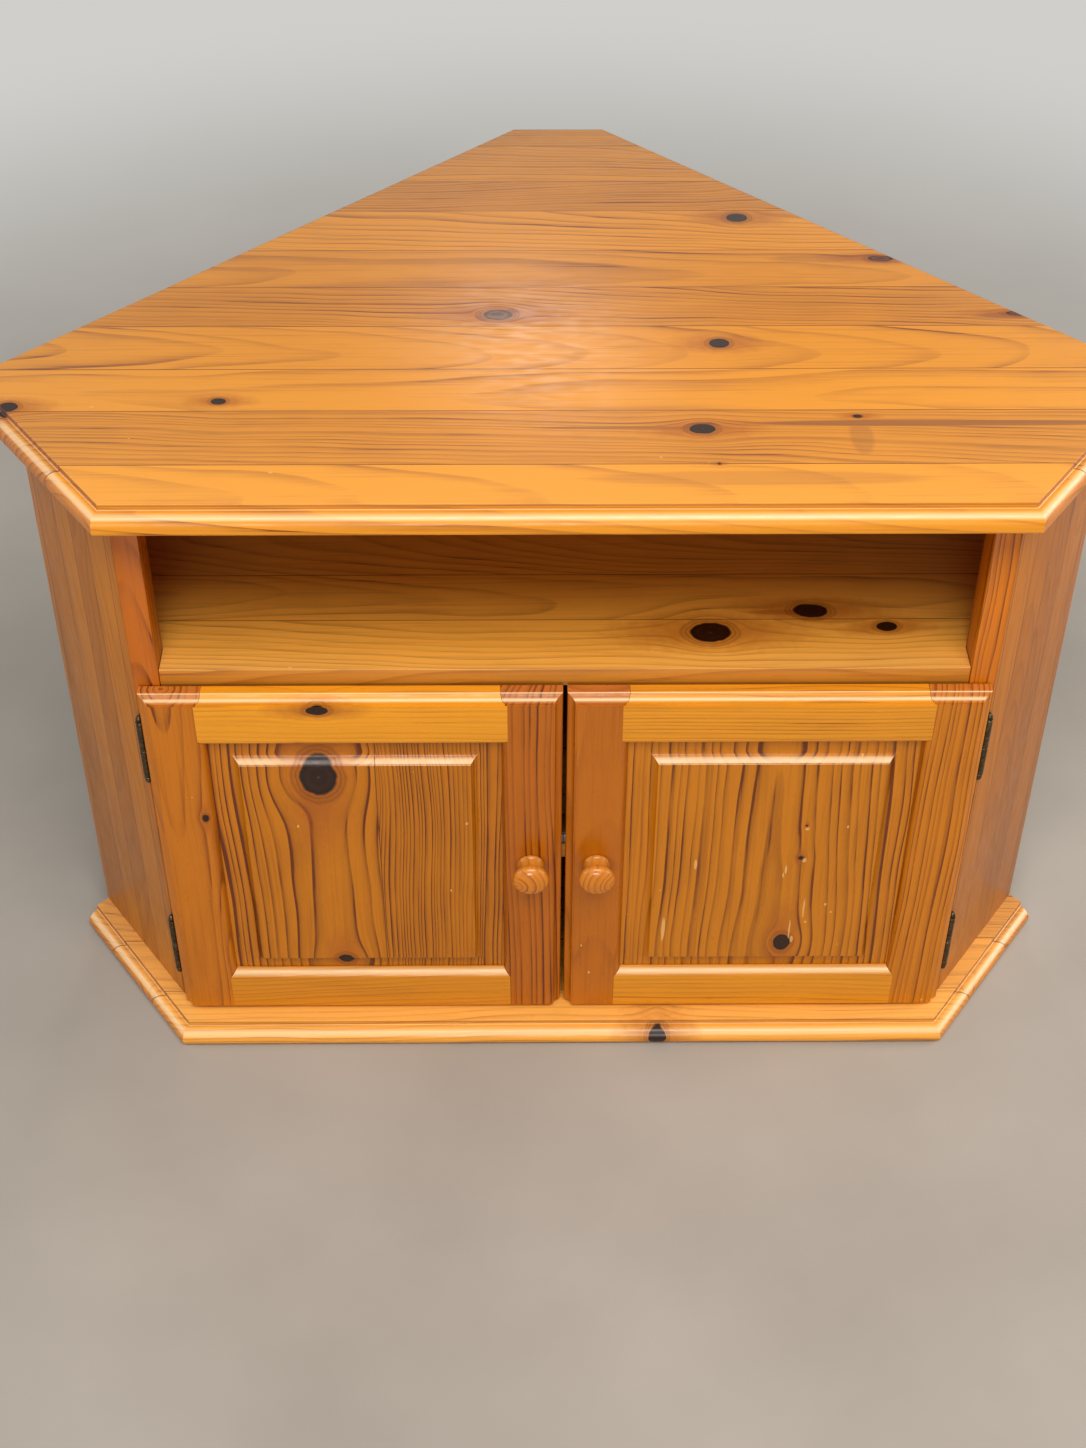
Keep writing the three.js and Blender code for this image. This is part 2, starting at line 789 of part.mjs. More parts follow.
function addCatch() {
  const bottom = cupboardShelfTop + jointGap;
  const top = bottom + catchHeight;
  const face = jointGap;
  const half = catchWidth / 2;
  const core = solidFrom(block(-half, half, face, face + catchDepth, bottom, top));
  const trims = [-1, 1].map((hand) => {
    const outer = hand * (half + overrun);
    const inner = hand * (half - catchEar);
    return solidFrom(
      block(
        Math.min(outer, inner),
        Math.max(outer, inner),
        face - overrun,
        face + catchDepth + overrun,
        bottom + catchEarHeight,
        top + overrun,
      ),
    );
  });
  const middle = (bottom + top) / 2;
  const pocket = (hand) => {
    const x = hand * magnetSpacing / 2;
    const reach = magnetWidth / 2;
    return [x - reach, x + reach];
  };
  const rise = magnetHeight / 2;
  const pockets = [-1, 1].map((hand) => {
    const [x0, x1] = pocket(hand);
    return solidFrom(
      block(
        x0 - jointGap,
        x1 + jointGap,
        face - overrun,
        face + magnetDepth,
        middle - rise - jointGap,
        middle + rise + jointGap,
      ),
    );
  });
  add("catch_housing", geometryFrom(cut(core, ...trims, ...pockets)), "plastic");

  const [x0, x1] = pocket(1);
  addPair("catch_magnet", block(x0, x1, 0, face + magnetDepth - jointGap, middle - rise, middle + rise), "steel");

  const plate = new THREE.Shape();
  const wide = strikeWidth / 2;
  const tall = strikeHeight / 2;
  plate.moveTo(-wide + strikeCorner, -tall);
  plate.lineTo(wide - strikeCorner, -tall);
  plate.quadraticCurveTo(wide, -tall, wide, -tall + strikeCorner);
  plate.lineTo(wide, tall - strikeCorner);
  plate.quadraticCurveTo(wide, tall, wide - strikeCorner, tall);
  plate.lineTo(-wide + strikeCorner, tall);
  plate.quadraticCurveTo(-wide, tall, -wide, tall - strikeCorner);
  plate.lineTo(-wide, -tall + strikeCorner);
  plate.quadraticCurveTo(-wide, -tall, -wide + strikeCorner, -tall);
  const hole = new THREE.Path().absarc(0, 0, strikeHole, 0, Math.PI * 2, true);
  plate.holes.push(hole);
  const sheet = new THREE.ExtrudeGeometry(plate, {
    depth: leafThickness,
    bevelEnabled: false,
    curveSegments: curveSteps,
  });
  const strikeX = doorMeet + strikeWidth / 2 + strikeCorner;
  sheet.rotateX(Math.PI / 2).translate(strikeX, -jointGap, middle);
  addPair("strike_plate", sheet, "steel");
}

addTop();
addBase();
addReturns();
addBack();
addShelf("player_shelf", playerShelfTop);
addShelf("cupboard_shelf", cupboardShelfTop);
addCleats("player_shelf", playerShelfTop);
addCleats("cupboard_shelf", cupboardShelfTop);
addBattens();
addDoor();
addKnob();
addHinge("upper", doorTop - hingeInset - hingeHalf);
addHinge("lower", doorBottom + hingeInset + hingeHalf);
addCatch();

// The origin lies on the floor under the middle of the cabinet.
cabinet.position.y = -centreY;

export default cabinet;
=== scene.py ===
# %% [markdown]
# # Corner television cabinet
#
# A pine cabinet for the corner of a room: a straight front, two short splayed returns and two long walls.
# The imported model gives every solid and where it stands. This lesson gives those solids what a maker would
# see: routed mouldings, eased arrises, turned knobs, hinges, and boards with grain, knots and lacquer.
# Lengths are written in millimetres, as on a cutting list, and turned to metres for Blender.

import math
import random
from functools import partial

import bmesh
import bpy
from mathutils import Matrix, Vector


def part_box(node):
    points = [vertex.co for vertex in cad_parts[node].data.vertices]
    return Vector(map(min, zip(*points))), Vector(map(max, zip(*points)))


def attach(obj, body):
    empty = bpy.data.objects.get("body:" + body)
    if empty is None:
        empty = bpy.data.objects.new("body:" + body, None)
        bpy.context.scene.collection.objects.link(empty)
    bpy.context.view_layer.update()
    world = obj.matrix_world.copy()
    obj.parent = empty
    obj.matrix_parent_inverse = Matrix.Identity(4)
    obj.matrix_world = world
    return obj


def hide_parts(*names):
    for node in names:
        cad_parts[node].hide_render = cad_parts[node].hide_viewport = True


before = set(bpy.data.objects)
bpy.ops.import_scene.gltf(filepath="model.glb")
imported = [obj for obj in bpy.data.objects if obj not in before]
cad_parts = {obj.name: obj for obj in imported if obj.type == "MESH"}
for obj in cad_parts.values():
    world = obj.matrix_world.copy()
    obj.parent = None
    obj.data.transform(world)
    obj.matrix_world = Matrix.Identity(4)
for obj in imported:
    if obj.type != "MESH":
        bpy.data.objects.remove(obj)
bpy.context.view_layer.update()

MM = 0.001
TINY = 0.01 * MM

# %% [markdown]
# ## The camera
#
# The picture was taken from in front, well above the cabinet, with the lens tilted down by about 42 degrees.
# The place and the tilt were worked out from the cabinet's own straight edges, so that the render can be laid
# over the picture. The picture stands upright, so its long side takes the full width of the sensor.

# %% Place the camera
CAMERA_PLACE = Vector((-0.03194, -1.62403, 1.57040))
CAMERA_YAW, CAMERA_PITCH, CAMERA_ROLL = (math.radians(angle) for angle in (0.57, 41.61, 0.19))
FOCAL_SHARE = 2133.42 / 1448  # focal length over the long side of the picture

lens = bpy.data.cameras.new("camera")
lens.sensor_width = 36
lens.lens = FOCAL_SHARE * lens.sensor_width
lens.clip_start = 0.01
camera = bpy.data.objects.new("camera", lens)
bpy.context.scene.collection.objects.link(camera)

level = math.cos(CAMERA_PITCH)
forward = Vector((math.sin(CAMERA_YAW) * level, math.cos(CAMERA_YAW) * level, -math.sin(CAMERA_PITCH)))
flat_right = Vector((math.cos(CAMERA_YAW), -math.sin(CAMERA_YAW), 0))
flat_up = flat_right.cross(forward)
right = math.cos(CAMERA_ROLL) * flat_right + math.sin(CAMERA_ROLL) * flat_up
up = math.cos(CAMERA_ROLL) * flat_up - math.sin(CAMERA_ROLL) * flat_right
turn = Matrix((right, up, -forward)).transposed().to_4x4()
camera.matrix_world = Matrix.Translation(CAMERA_PLACE) @ turn
bpy.context.scene.camera = camera
print("lens", round(lens.lens, 2), "mm")

# %% [markdown]
# ## Sizes of the cabinet
#
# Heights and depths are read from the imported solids, so a piece modelled here can't drift from what it
# covers. The few sizes that a box can't tell, such as the angle of the returns and the run of each moulding,
# are written once. Depth is counted from the front of the carcass, which is where the posts end.

# %% Read the sizes
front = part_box("left_front_post")[0].y
stile_low, stile_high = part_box("right_door_hinge_stile")
door_face, door_back = stile_low.y, stile_high.y
door_bottom, door_top = stile_low.z, stile_high.z
door_edge = stile_high.x
door_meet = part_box("right_door_meeting_stile")[0].x
top_high, base_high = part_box("top_board")[1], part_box("base_board")[1]
print("carcass front", round(front / MM, 2), "door", [round(v / MM, 2) for v in (door_meet, door_edge)],
      "z", [round(v / MM, 2) for v in (door_bottom, door_top)])

LEVEL, INWARD, UPRIGHT = (1, 0, 0), (0, 1, 0), (0, 0, 1)
SPLAY = math.radians(54.3)
HALF_WIDTH = 360 * MM
RETURN_LENGTH = 156 * MM
WALL_SUM = HALF_WIDTH + RETURN_LENGTH * (math.sin(SPLAY) + math.cos(SPLAY))


def centre(node):
    """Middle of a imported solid."""
    low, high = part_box(node)
    return (low + high) / 2


def return_x(depth, out):
    """x of a line along the right return, moved out, at a depth behind the carcass front."""
    return HALF_WIDTH + (out + depth * math.cos(SPLAY)) / math.sin(SPLAY)


def shoulder_depth(side_out, wall_out):
    """Depth at which a line along the return meets one along the wall, each moved out."""
    reach = WALL_SUM + wall_out * math.sqrt(2) - HALF_WIDTH - side_out / math.sin(SPLAY)
    return reach / (1 + math.cos(SPLAY) / math.sin(SPLAY))


# %% [markdown]
# ## Working as by hand
#
# Each piece starts as a primitive at its own size and place, is shaped in edit mode, and is finished with
# modifiers. With no mouse to click with, faces and edges are picked by where they lie or which way they
# look. A few helpers keep that short.

# %% Helpers for modelling
def object_mode():
    """Leaves edit mode and deselects everything."""
    if bpy.context.mode != "OBJECT":
        bpy.ops.object.mode_set(mode="OBJECT")
    bpy.ops.object.select_all(action="DESELECT")


def hold(piece):
    """Makes one piece the only selected and active object."""
    object_mode()
    piece.select_set(True)
    bpy.context.view_layer.objects.active = piece


def edit(piece):
    """Opens a piece in edit mode with nothing selected."""
    hold(piece)
    bpy.ops.object.mode_set(mode="EDIT")
    bpy.ops.mesh.select_all(action="DESELECT")


def pick(kind, test):
    """Selects the vertices, edges or faces of the edited piece that pass a test, and counts them."""
    bpy.ops.mesh.select_mode(type=kind)
    bpy.ops.mesh.select_all(action="DESELECT")
    mesh = bpy.context.object.data
    shape = bmesh.from_edit_mesh(mesh)
    parts = {"VERT": shape.verts, "EDGE": shape.edges, "FACE": shape.faces}[kind]
    chosen = [part for part in parts if test(part)]
    for part in chosen:
        part.select_set(True)
    shape.select_flush_mode()
    bmesh.update_edit_mesh(mesh)
    return len(chosen)


def shift(x, y, z):
    """Moves what is selected."""
    bpy.ops.transform.translate(value=(x, y, z))


def primitive(kind, name, **settings):
    """A new primitive of Blender's, with its place and size applied."""
    object_mode()
    getattr(bpy.ops.mesh, f"primitive_{kind}_add")(**settings)
    piece = bpy.context.object
    piece.name = name
    bpy.ops.object.transform_apply()
    return piece


def block(name, low, high):
    """A cube that fills the space between two corners."""
    low, high = Vector(low), Vector(high)
    return primitive("cube", name, size=1, location=(low + high) / 2, scale=high - low)


def outline(name, corners, closed=True):
    """A chain of edges drawn corner by corner, from a plane that is merged to its first point."""
    piece = primitive("plane", name, size=MM, location=corners[0])
    edit(piece)
    bpy.ops.mesh.select_mode(type="VERT")
    bpy.ops.mesh.select_all(action="SELECT")
    bpy.ops.mesh.merge(type="CENTER")
    for here, there in zip(corners, corners[1:]):
        bpy.ops.mesh.extrude_vertices_move(TRANSFORM_OT_translate={"value": Vector(there) - Vector(here)})
    bpy.ops.mesh.select_all(action="SELECT")
    if closed:
        bpy.ops.mesh.edge_face_add()
    return piece


def bar(name, corners, along):
    """A solid bar: a closed outline extruded along a vector."""
    piece = outline(name, corners)
    bpy.ops.mesh.extrude_region_move(TRANSFORM_OT_translate={"value": Vector(along)})
    bpy.ops.mesh.select_all(action="SELECT")
    bpy.ops.mesh.normals_make_consistent()
    object_mode()
    return piece


def take_away(piece, *cutters):
    """Cuts each cutter out of a piece, as a router bit takes its waste, and throws the cutter away."""
    for cutter in cutters:
        hold(piece)
        cut = piece.modifiers.new("cut", "BOOLEAN")
        cut.operation = "DIFFERENCE"
        cut.solver = "EXACT"
        cut.object = cutter
        bpy.ops.object.modifier_apply(modifier=cut.name)
        bpy.data.objects.remove(cutter)


def ease(piece, width, segments=2, angle=40):
    """Rounds every arris sharper than an angle, as sandpaper does."""
    hold(piece)
    rounding = piece.modifiers.new("eased arrises", "BEVEL")
    rounding.width = width
    rounding.segments = segments
    rounding.limit_method = "ANGLE"
    rounding.angle_limit = math.radians(angle)
    rounding.use_clamp_overlap = True
    bpy.ops.object.modifier_apply(modifier=rounding.name)


def curve_points(handles, steps):
    """Points on a curve drawn by its handles."""
    points = []
    for step in range(steps + 1):
        share = step / steps
        row = [Vector(handle) for handle in handles]
        while len(row) > 1:
            row = [a.lerp(b, share) for a, b in zip(row, row[1:])]
        points.append(row[0])
    return points


def profile(points, *curves):
    """A line through points that goes on in curves, each given as its number of steps and its handles."""
    line = [Vector(point) for point in points]
    for steps, *handles in curves:
        line += curve_points([line[-1], *handles], steps)[1:]
    return line


finished = []


def finish_piece(piece, body, material, slot, *nodes, smooth=30):
    """Shades a piece, gives it its material, sets it on its body and hides the solids it stands for."""
    hold(piece)
    bpy.ops.object.transform_apply()
    bpy.ops.object.shade_smooth_by_angle(angle=math.radians(smooth))
    piece.data.materials.clear()
    piece.data.materials.append(material)
    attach(piece, body)
    if nodes:
        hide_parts(*nodes)
    finished.append(piece)
    return piece


def copied(node, name):
    """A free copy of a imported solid, its loose triangles merged into whole flat faces."""
    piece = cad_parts[node].copy()
    piece.data = piece.data.copy()
    piece.name = name
    for key in list(piece.keys()):
        del piece[key]
    piece.parent = None
    piece.matrix_world = Matrix.Identity(4)
    bpy.context.scene.collection.objects.link(piece)
    edit(piece)
    bpy.ops.mesh.select_all(action="SELECT")
    bpy.ops.mesh.remove_doubles(threshold=TINY)
    bpy.ops.mesh.dissolve_limited(angle_limit=math.radians(1))
    hold(piece)
    if piece.data.has_custom_normals:
        bpy.ops.mesh.customdata_custom_splitnormals_clear()
    return piece


def dressed(node, ending, arris, body, material, slot, segments=2, angle=30):
    """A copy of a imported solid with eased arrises, finished in its stead."""
    piece = copied(node, node + ending)
    ease(piece, arris, segments, angle)
    return finish_piece(piece, body, material, slot, node)


def mirrored(piece, name):
    """The left-hand twin of a right-hand piece, with its own mesh."""
    hold(piece)
    bpy.ops.object.duplicate()
    twin = bpy.context.object
    twin.name = name
    bpy.ops.transform.resize(value=(-1, 1, 1), center_override=(0, 0, 0))
    bpy.ops.object.transform_apply()
    edit(twin)
    bpy.ops.mesh.select_all(action="SELECT")
    bpy.ops.mesh.normals_make_consistent()
    object_mode()
    return twin


# %% [markdown]
# ## Building a material
#
# A material is a small tree of nodes. One helper adds a node with its settings and its links, so that each
# finish below reads as a list of what the real surface has. Colours are written as hex values, as they look
# on a screen, and turned to the linear values that light works with.

# %% Helpers for materials
def linear(colour):
    """An sRGB hex colour, or one grey, as linear red, green and blue at full opacity."""
    if not isinstance(colour, str):
        return (colour, colour, colour, 1.0)
    channels = [int(colour[i:i + 2], 16) / 255 for i in (1, 3, 5)]
    values = [c / 12.92 if c <= 0.04045 else ((c + 0.055) / 1.055) ** 2.4 for c in channels]
    return (*values, 1.0)


def feed(socket, value):
    """Gives an input a link, a hex colour or a plain value."""
    if isinstance(value, bpy.types.NodeSocket):
        socket.id_data.links.new(value, socket)
    else:
        socket.default_value = linear(value) if isinstance(value, str) else value


def add_node(tree, kind, *values, **named):
    """Adds a node and gives back its first output.

    Its kind may be followed by its operation. The values go to the inputs in use, in their order. A name with
    a capital is an input, and any other name is a setting.
    """
    kind, *operation = kind.split()
    node = tree.nodes.new("ShaderNode" + kind)
    if operation:
        node.operation = operation[0]
    for setting in filter(str.islower, named):
        setattr(node, setting, named[setting])
    for socket, value in zip([socket for socket in node.inputs if socket.enabled], values):
        feed(socket, value)
    for key in named:
        if not key.islower():
            feed(node.inputs[key.replace("_", " ")], named[key])
    return next((socket for socket in node.outputs if socket.enabled), None)


def new_material(name):
    """An empty material, and the function above tied to its tree."""
    material = bpy.data.materials.new(name)
    material.use_nodes = True
    material.node_tree.nodes.clear()
    return material, partial(add_node, material.node_tree)


def new_group(name, inputs, outputs):
    """A node group with its sockets, the function tied to it, and the values it is given."""
    group = bpy.data.node_groups.new(name, "ShaderNodeTree")
    for way, sockets in (("INPUT", inputs), ("OUTPUT", outputs)):
        for socket in sockets:
            kind = "NodeSocketVector" if socket in ("Place", "Middle") else "NodeSocketFloat"
            group.interface.new_socket(socket, in_out=way, socket_type=kind)
    return group, partial(add_node, group), group.nodes.new("NodeGroupInput").outputs


def give_back(group, *values):
    """Closes a node group with what it gives back."""
    for socket, value in zip(group.nodes.new("NodeGroupOutput").inputs, values):
        feed(socket, value)
    return group


def fill_ramp(output, stops, way="LINEAR"):
    """Sets the stops of a colour ramp, each a place from 0 to 1 and a hex colour, a grey or a tuple."""
    ramp = output.node.color_ramp
    ramp.interpolation = way
    while len(ramp.elements) > 1:
        ramp.elements.remove(ramp.elements[-1])
    for index, (place, value) in enumerate(stops):
        element = ramp.elements[0] if index == 0 else ramp.elements.new(place)
        element.position = place
        element.color = value if isinstance(value, tuple) else linear(value)
    return output


# %% [markdown]
# ## Knots
#
# A knot is the foot of a branch. The growth rings of the trunk part and flow round it, as water flows round
# a post. That is a known flow, so one small group bends the board round a round obstacle and says how far
# each point is from the knot's middle, counted in knot radii. A knot cut at a slant is longer along the
# grain, which is what the stretch is for.

# %% Group that bends a board round a knot
AURA_LENGTH = 2.3  # how much longer than wide the resin stain round a knot is


def knot_group():
    """Bends a place round one knot, and keeps the least distance to any knot so far."""
    inputs = ("Place", "Middle", "Radius", "Stretch", "Nearest", "Aura")
    group, add, given = new_group("bend round a knot", inputs, ("Place", "Nearest", "Aura"))
    offset = add("VectorMath SUBTRACT", given["Place"], given["Middle"])
    parts = add("SeparateXYZ", offset).node.outputs
    run = add("Math DIVIDE", parts[0], given["Stretch"])
    run_square = add("Math MULTIPLY", run, run)
    square = add("Math MULTIPLY_ADD", parts[1], parts[1], run_square)
    edge = add("Math MULTIPLY", given["Radius"], given["Radius"])
    outside = add("Math MAXIMUM", square, edge)
    share = add("Math DIVIDE", edge, outside)
    back = add("Math MULTIPLY", share, parts[1])
    bent = add("VectorMath SUBTRACT", given["Place"], add("CombineXYZ", Y=back))
    reach = add("Math SQRT", add("Math DIVIDE", square, edge))
    nearest = add("Math MINIMUM", reach, given["Nearest"])
    long_run = add("Math MULTIPLY", run_square, 1 / AURA_LENGTH ** 2)
    oval = add("Math MULTIPLY_ADD", parts[1], parts[1], long_run)
    oval = add("Math SQRT", add("Math DIVIDE", oval, edge))
    aura = add("Math MINIMUM", oval, given["Aura"])
    return give_back(group, bent, nearest, aura)


bend_round_knot = knot_group()
print("knot group:", len(bend_round_knot.nodes), "nodes")

# %% [markdown]
# ## Lacquered pine
#
# The whole cabinet is knotty pine, edge-glued from staves, planed, sanded and sprayed with a glossy amber
# lacquer that has deepened with light. The wood is built as a solid: each stave is a slice of a trunk whose
# rings lie round a pith somewhere below or above the face. On a face along the grain the rings show as long
# lines and flames, and across the grain the same rings show as arcs, so a routed edge on a splayed return
# shows real end grain with no second pattern.
#
# Rings in fast-grown pine are mostly 3 to 6 mm wide, and some reach 10. Each begins pale and soft and ends in
# a hard dark line with a sharp outer edge, so the ramp over one ring rises slowly and falls at once. A table
# of staves, kept in one colour ramp, holds for each stave where it starts, how dark it is, where its pith
# lies and how wide its rings are.

# %% Lacquered pine
SPREAD_DEPTH = 160.0  # mm, the deepest pith in the stave table
PITH_MARGIN = 200.0  # mm, how far beyond the board a pith may lie
LAST_STAVE = 80.0  # mm, room for the last stave of a table
FAR = 99.0  # distance from a knot, in its radii, before any is met
GLUE_LINE = 0.9  # mm
STAVE_TINT = 0.8  # how strongly the tone of a stave also greys it
WIDEST_RING = 10.0  # mm
KNOT_SWAY = 1.55  # how far out the rings are pushed aside, in radii of the knot
HIGHLIGHT_TILT = 0.76  # upward part of the normal where the painted highlight on a moulding is strongest


def stave_table(name, staves):
    """A group that tells, across the face, which stave a point is in: tone, pith and width of its rings."""
    outputs = ("Tone", "Pith across", "Pith depth", "Ring")
    group, add, given = new_group("staves of " + name, ["Across"], outputs)
    low, high = staves[0][0], staves[-1][0] + LAST_STAVE
    left, wide = low - PITH_MARGIN, high - low + 2 * PITH_MARGIN
    stops = []
    for start, tone, pith, depth, ring in staves:
        row = (tone, (pith - left) / wide, depth / SPREAD_DEPTH * 0.5 + 0.5, ring / WIDEST_RING)
        stops.append(((start - low) / (high - low), row))
    table = fill_ramp(add("ValToRGB", add("MapRange", given[0], low, high, 0.0, 1.0)), stops, "CONSTANT")
    tone, pith, depth = add("SeparateColor", table).node.outputs
    return give_back(group, tone, add("MapRange", pith, 0.0, 1.0, left, left + wide),
                     add("MapRange", depth, 0.0, 1.0, -SPREAD_DEPTH, SPREAD_DEPTH),
                     add("Math MULTIPLY", table.node.outputs["Alpha"], WIDEST_RING))


def random_staves(seed, start, stop, width, depth=(22, 60), ring=(3.2, 5.4)):
    """Staves of about one width, each from another trunk."""
    dice = random.Random(seed)
    staves = []
    place = start
    while place < stop:
        wide = width * dice.uniform(0.88, 1.12)
        side = dice.choice((-1, 1))
        staves.append((place, dice.uniform(0.25, 0.75), place + wide * dice.uniform(-0.1, 1.1),
                       side * dice.uniform(*depth), dice.uniform(*ring)))
        place += wide
    return staves


def pine(name, along, across, origin, staves, early, late, knots=(), streaks=(), edge_knots=(), scars=(),
         seed=0.0, gloss=0.28, contrast=1.15, chips=0.5, wander=1.0, quirk_shade=(), end_tint="#cc762e",
         painted_highlight=0.58, edge_shade=0.0):
    """Lacquered pine with its grain along one direction and its staves counted across another.

    Lengths are in millimetres from the origin. A knot is (along, across, radius, stretch, blackness), and an
    edge knot, with depth for across, comes out of the edge of the board. A streak is (along, across, half
    width, stretch, strength). A scar, where the lacquer is chipped or scratched off, is (along, across, half
    width, stretch). A quirk shade, a band of painted shade at one height of a moulding, is (height, half width,
    strength). Edge shade is how much painted shade darkens the faces that look across the staves, and painted
    highlight is how much the upward slopes of mouldings are painted paler.
    """
    material, add = new_material(name)
    along, across = Vector(along).normalized(), Vector(across).normalized()
    through = along.cross(across)
    seen = add("TexCoord").node.outputs
    local = add("VectorMath SUBTRACT", seen["Object"], Vector(origin))
    reads = [add("VectorMath DOT_PRODUCT", local, axis / MM) for axis in (along, across, through)]
    place = add("CombineXYZ", *reads)

    def exchanged(vector):
        """The same place with across and depth exchanged."""
        flat = add("SeparateXYZ", vector).node.outputs
        return add("CombineXYZ", flat[0], flat[2], flat[1])

    def oval(run, side, half, stretch):
        """Distance from the middle of an oval, counted in its half widths."""
        step = add("Group", place, (run, side, 0), half, stretch, FAR, node_tree=bend_round_knot)
        return step.node.outputs["Nearest"]

    # Knots, dead black ones and live brown ones
    nearest, aura = {"dead": FAR, "live": FAR}, {"dead": FAR, "live": FAR}
    bent = place
    for on_edge, group in ((False, knots), (True, edge_knots)):
        for run, side, radius, stretch, blackness in group:
            kind = "dead" if blackness > 0.5 else "live"
            bent = exchanged(bent) if on_edge else bent
            step = add("Group", bent, (run, side, 0), radius * KNOT_SWAY, stretch, nearest[kind], aura[kind],
                       node_tree=bend_round_knot)
            bent, nearest[kind], aura[kind] = step.node.outputs
            bent = exchanged(bent) if on_edge else bent

    # The stave under the point
    table = stave_table(name, staves)
    stave = add("Group", reads[1], node_tree=table).node.outputs
    bent_parts = add("SeparateXYZ", bent).node.outputs

    # Trunks aren't straight: the pith wanders along the board
    drift = add("VectorMath MULTIPLY", place, (1 / 330, 1 / 120, 1 / 120))
    apart = add("CombineXYZ", seed * 3.1, seed, stave["Pith across"])
    there = add("VectorMath ADD", apart, drift)
    bow = add("TexNoise", Vector=there, Scale=1.0, Detail=2.5, Roughness=0.45).node.outputs["Color"]
    bows = add("SeparateColor", bow).node.outputs
    side = add("Math SUBTRACT", bent_parts[1], stave["Pith across"])
    side = add("Math MULTIPLY_ADD", bows[0], 36.0 * wander, side)
    side = add("Math SUBTRACT", side, 18.0 * wander)
    deep = add("Math SUBTRACT", bent_parts[2], stave["Pith depth"])
    deep = add("Math MULTIPLY_ADD", bows[1], 24.0 * wander, deep)

    # A board is never sawn quite along its pith, which turns its rings into long pointed flames
    lot = add("Math FRACT", add("Math MULTIPLY", stave["Pith across"], 0.137))
    slope = add("MapRange", lot, 0.0, 1.0, -0.085 * wander, 0.085 * wander)
    deep = add("Math MULTIPLY_ADD", reads[0], slope, deep)
    radius = add("VectorMath LENGTH", add("CombineXYZ", side, deep))

    # Good and lean years
    years = add("Math MULTIPLY_ADD", radius, 0.085, seed)
    year = add("TexNoise", W=years, Scale=1.0, Detail=1.0, noise_dimensions="1D")
    uneven = add("Math MULTIPLY_ADD", year, 7.5, radius)
    count = add("Math DIVIDE", uneven, stave["Ring"])
    ring = fill_ramp(add("ValToRGB", add("Math FRACT", count)),
                     [(0.0, 0.0), (0.3, 0.04), (0.55, 0.2), (0.72, 0.48), (0.85, 0.92), (0.93, 1.0),
                      (0.97, 0.75), (1.0, 0.0)])

    # Some years print darker than others, and lines fade in and out along the board
    fade_place = add("VectorMath MULTIPLY", there, (1.7, 2.6, 2.6))
    fade = add("TexNoise", Vector=fade_place, Scale=1.0, Detail=2.0)
    strength = add("MapRange", fade, 0.3, 0.7, 0.5 * contrast, 1.0 * contrast)
    dark = add("Math MULTIPLY", ring, strength)
    luck = add("TexWhiteNoise", W=add("Math FLOOR", count), noise_dimensions="1D")
    print_of_year = add("MapRange", luck, 0.0, 1.0, 0.6, 1.15)
    dark = add("Math MULTIPLY", dark, print_of_year)

    # Where the saw ran level with a ring, one ring fills the face and prints softer than a ring cut across
    lean = add("Math ABSOLUTE", add("Math DIVIDE", side, radius))
    cut_across = add("MapRange", lean, 0.0, 0.32, 0.3, 1.0)
    dark = add("Math MULTIPLY", dark, cut_across)

    # Fibres: far finer than a millimetre on the real board, drawn here as wide as the render can show
    thread = add("VectorMath MULTIPLY", bent, (1 / 34, 1 / 0.9, 1 / 0.9))
    fibre = add("TexNoise", Vector=thread, Scale=1.0, Detail=3.0, Roughness=0.6)
    cloud_place = add("VectorMath MULTIPLY", there, (3.4, 3.0, 3.0))
    cloud = add("TexNoise", Vector=cloud_place, Scale=1.0, Detail=3.0)

    fibre_dark = add("MapRange", fibre, 0.35, 0.75, -0.05, 0.18, clamp=False)
    line_place = add("VectorMath MULTIPLY", bent, (1 / 170, 1 / 2.8, 1 / 2.8))
    fine_line = add("TexNoise", Vector=line_place, Scale=1.0, Detail=1.5)
    fine_dark = add("MapRange", fine_line, 0.52, 0.74, 0.0, 0.34)
    fibre_dark = add("Math ADD", fibre_dark, fine_dark)
    cloud_dark = add("MapRange", cloud, 0.3, 0.7, -0.10, 0.16)
    depth_of_tone = add("MapRange", stave["Tone"], 0.0, 1.0, -0.2, 0.2)
    shade = add("Math ADD", dark, fibre_dark)
    shade = add("Math ADD", shade, cloud_dark)
    shade = add("Math ADD", shade, depth_of_tone, use_clamp=True)
    pale, deepest = linear(early), linear(late)
    blends = [(at, tuple(a * (1 - part) + b * part for a, b in zip(pale, deepest)))
              for at, part in ((0.42, 0.28), (0.75, 0.5))]
    wood = fill_ramp(add("ValToRGB", shade), [(0.0, pale), *blends, (1.0, deepest)])
    tinted = add("MapRange", stave["Tone"], 0.0, 1.0, 0.0, STAVE_TINT)
    colour = add("Mix", tinted, wood, "#cbbda8", data_type="RGBA", blend_type="MULTIPLY")

    # Each layer that follows is a mask and the colour it lays over the wood. First, streaks of dark heartwood
    marks = 0.0
    for *where, force in streaks:
        frayed = add("Math MULTIPLY_ADD", fade, 0.9, oval(*where))
        marks = add("Math MAXIMUM", marks, add("MapRange", frayed, 1.25, 1.6, force, 0.0))
    layers = [(marks, "#8a4a1a")]

    # End grain drinks more stain and turns redder
    facing = [add("Math ABSOLUTE", add("VectorMath DOT_PRODUCT", seen["Normal"], axis))
              for axis in (along, across)]
    ends = add("MapRange", facing[0], 0.3, 0.9, 0.0, 0.75)
    layers.append((ends, add("Mix", dark, end_tint, "#74300e", data_type="RGBA")))

    # Painted shade on the faces that look across the staves, such as the front edge of a shelf and the sides of
    # a stile
    layers.append((add("MapRange", facing[1], 0.8, 0.97, 0.0, edge_shade), "#9a4a06"))
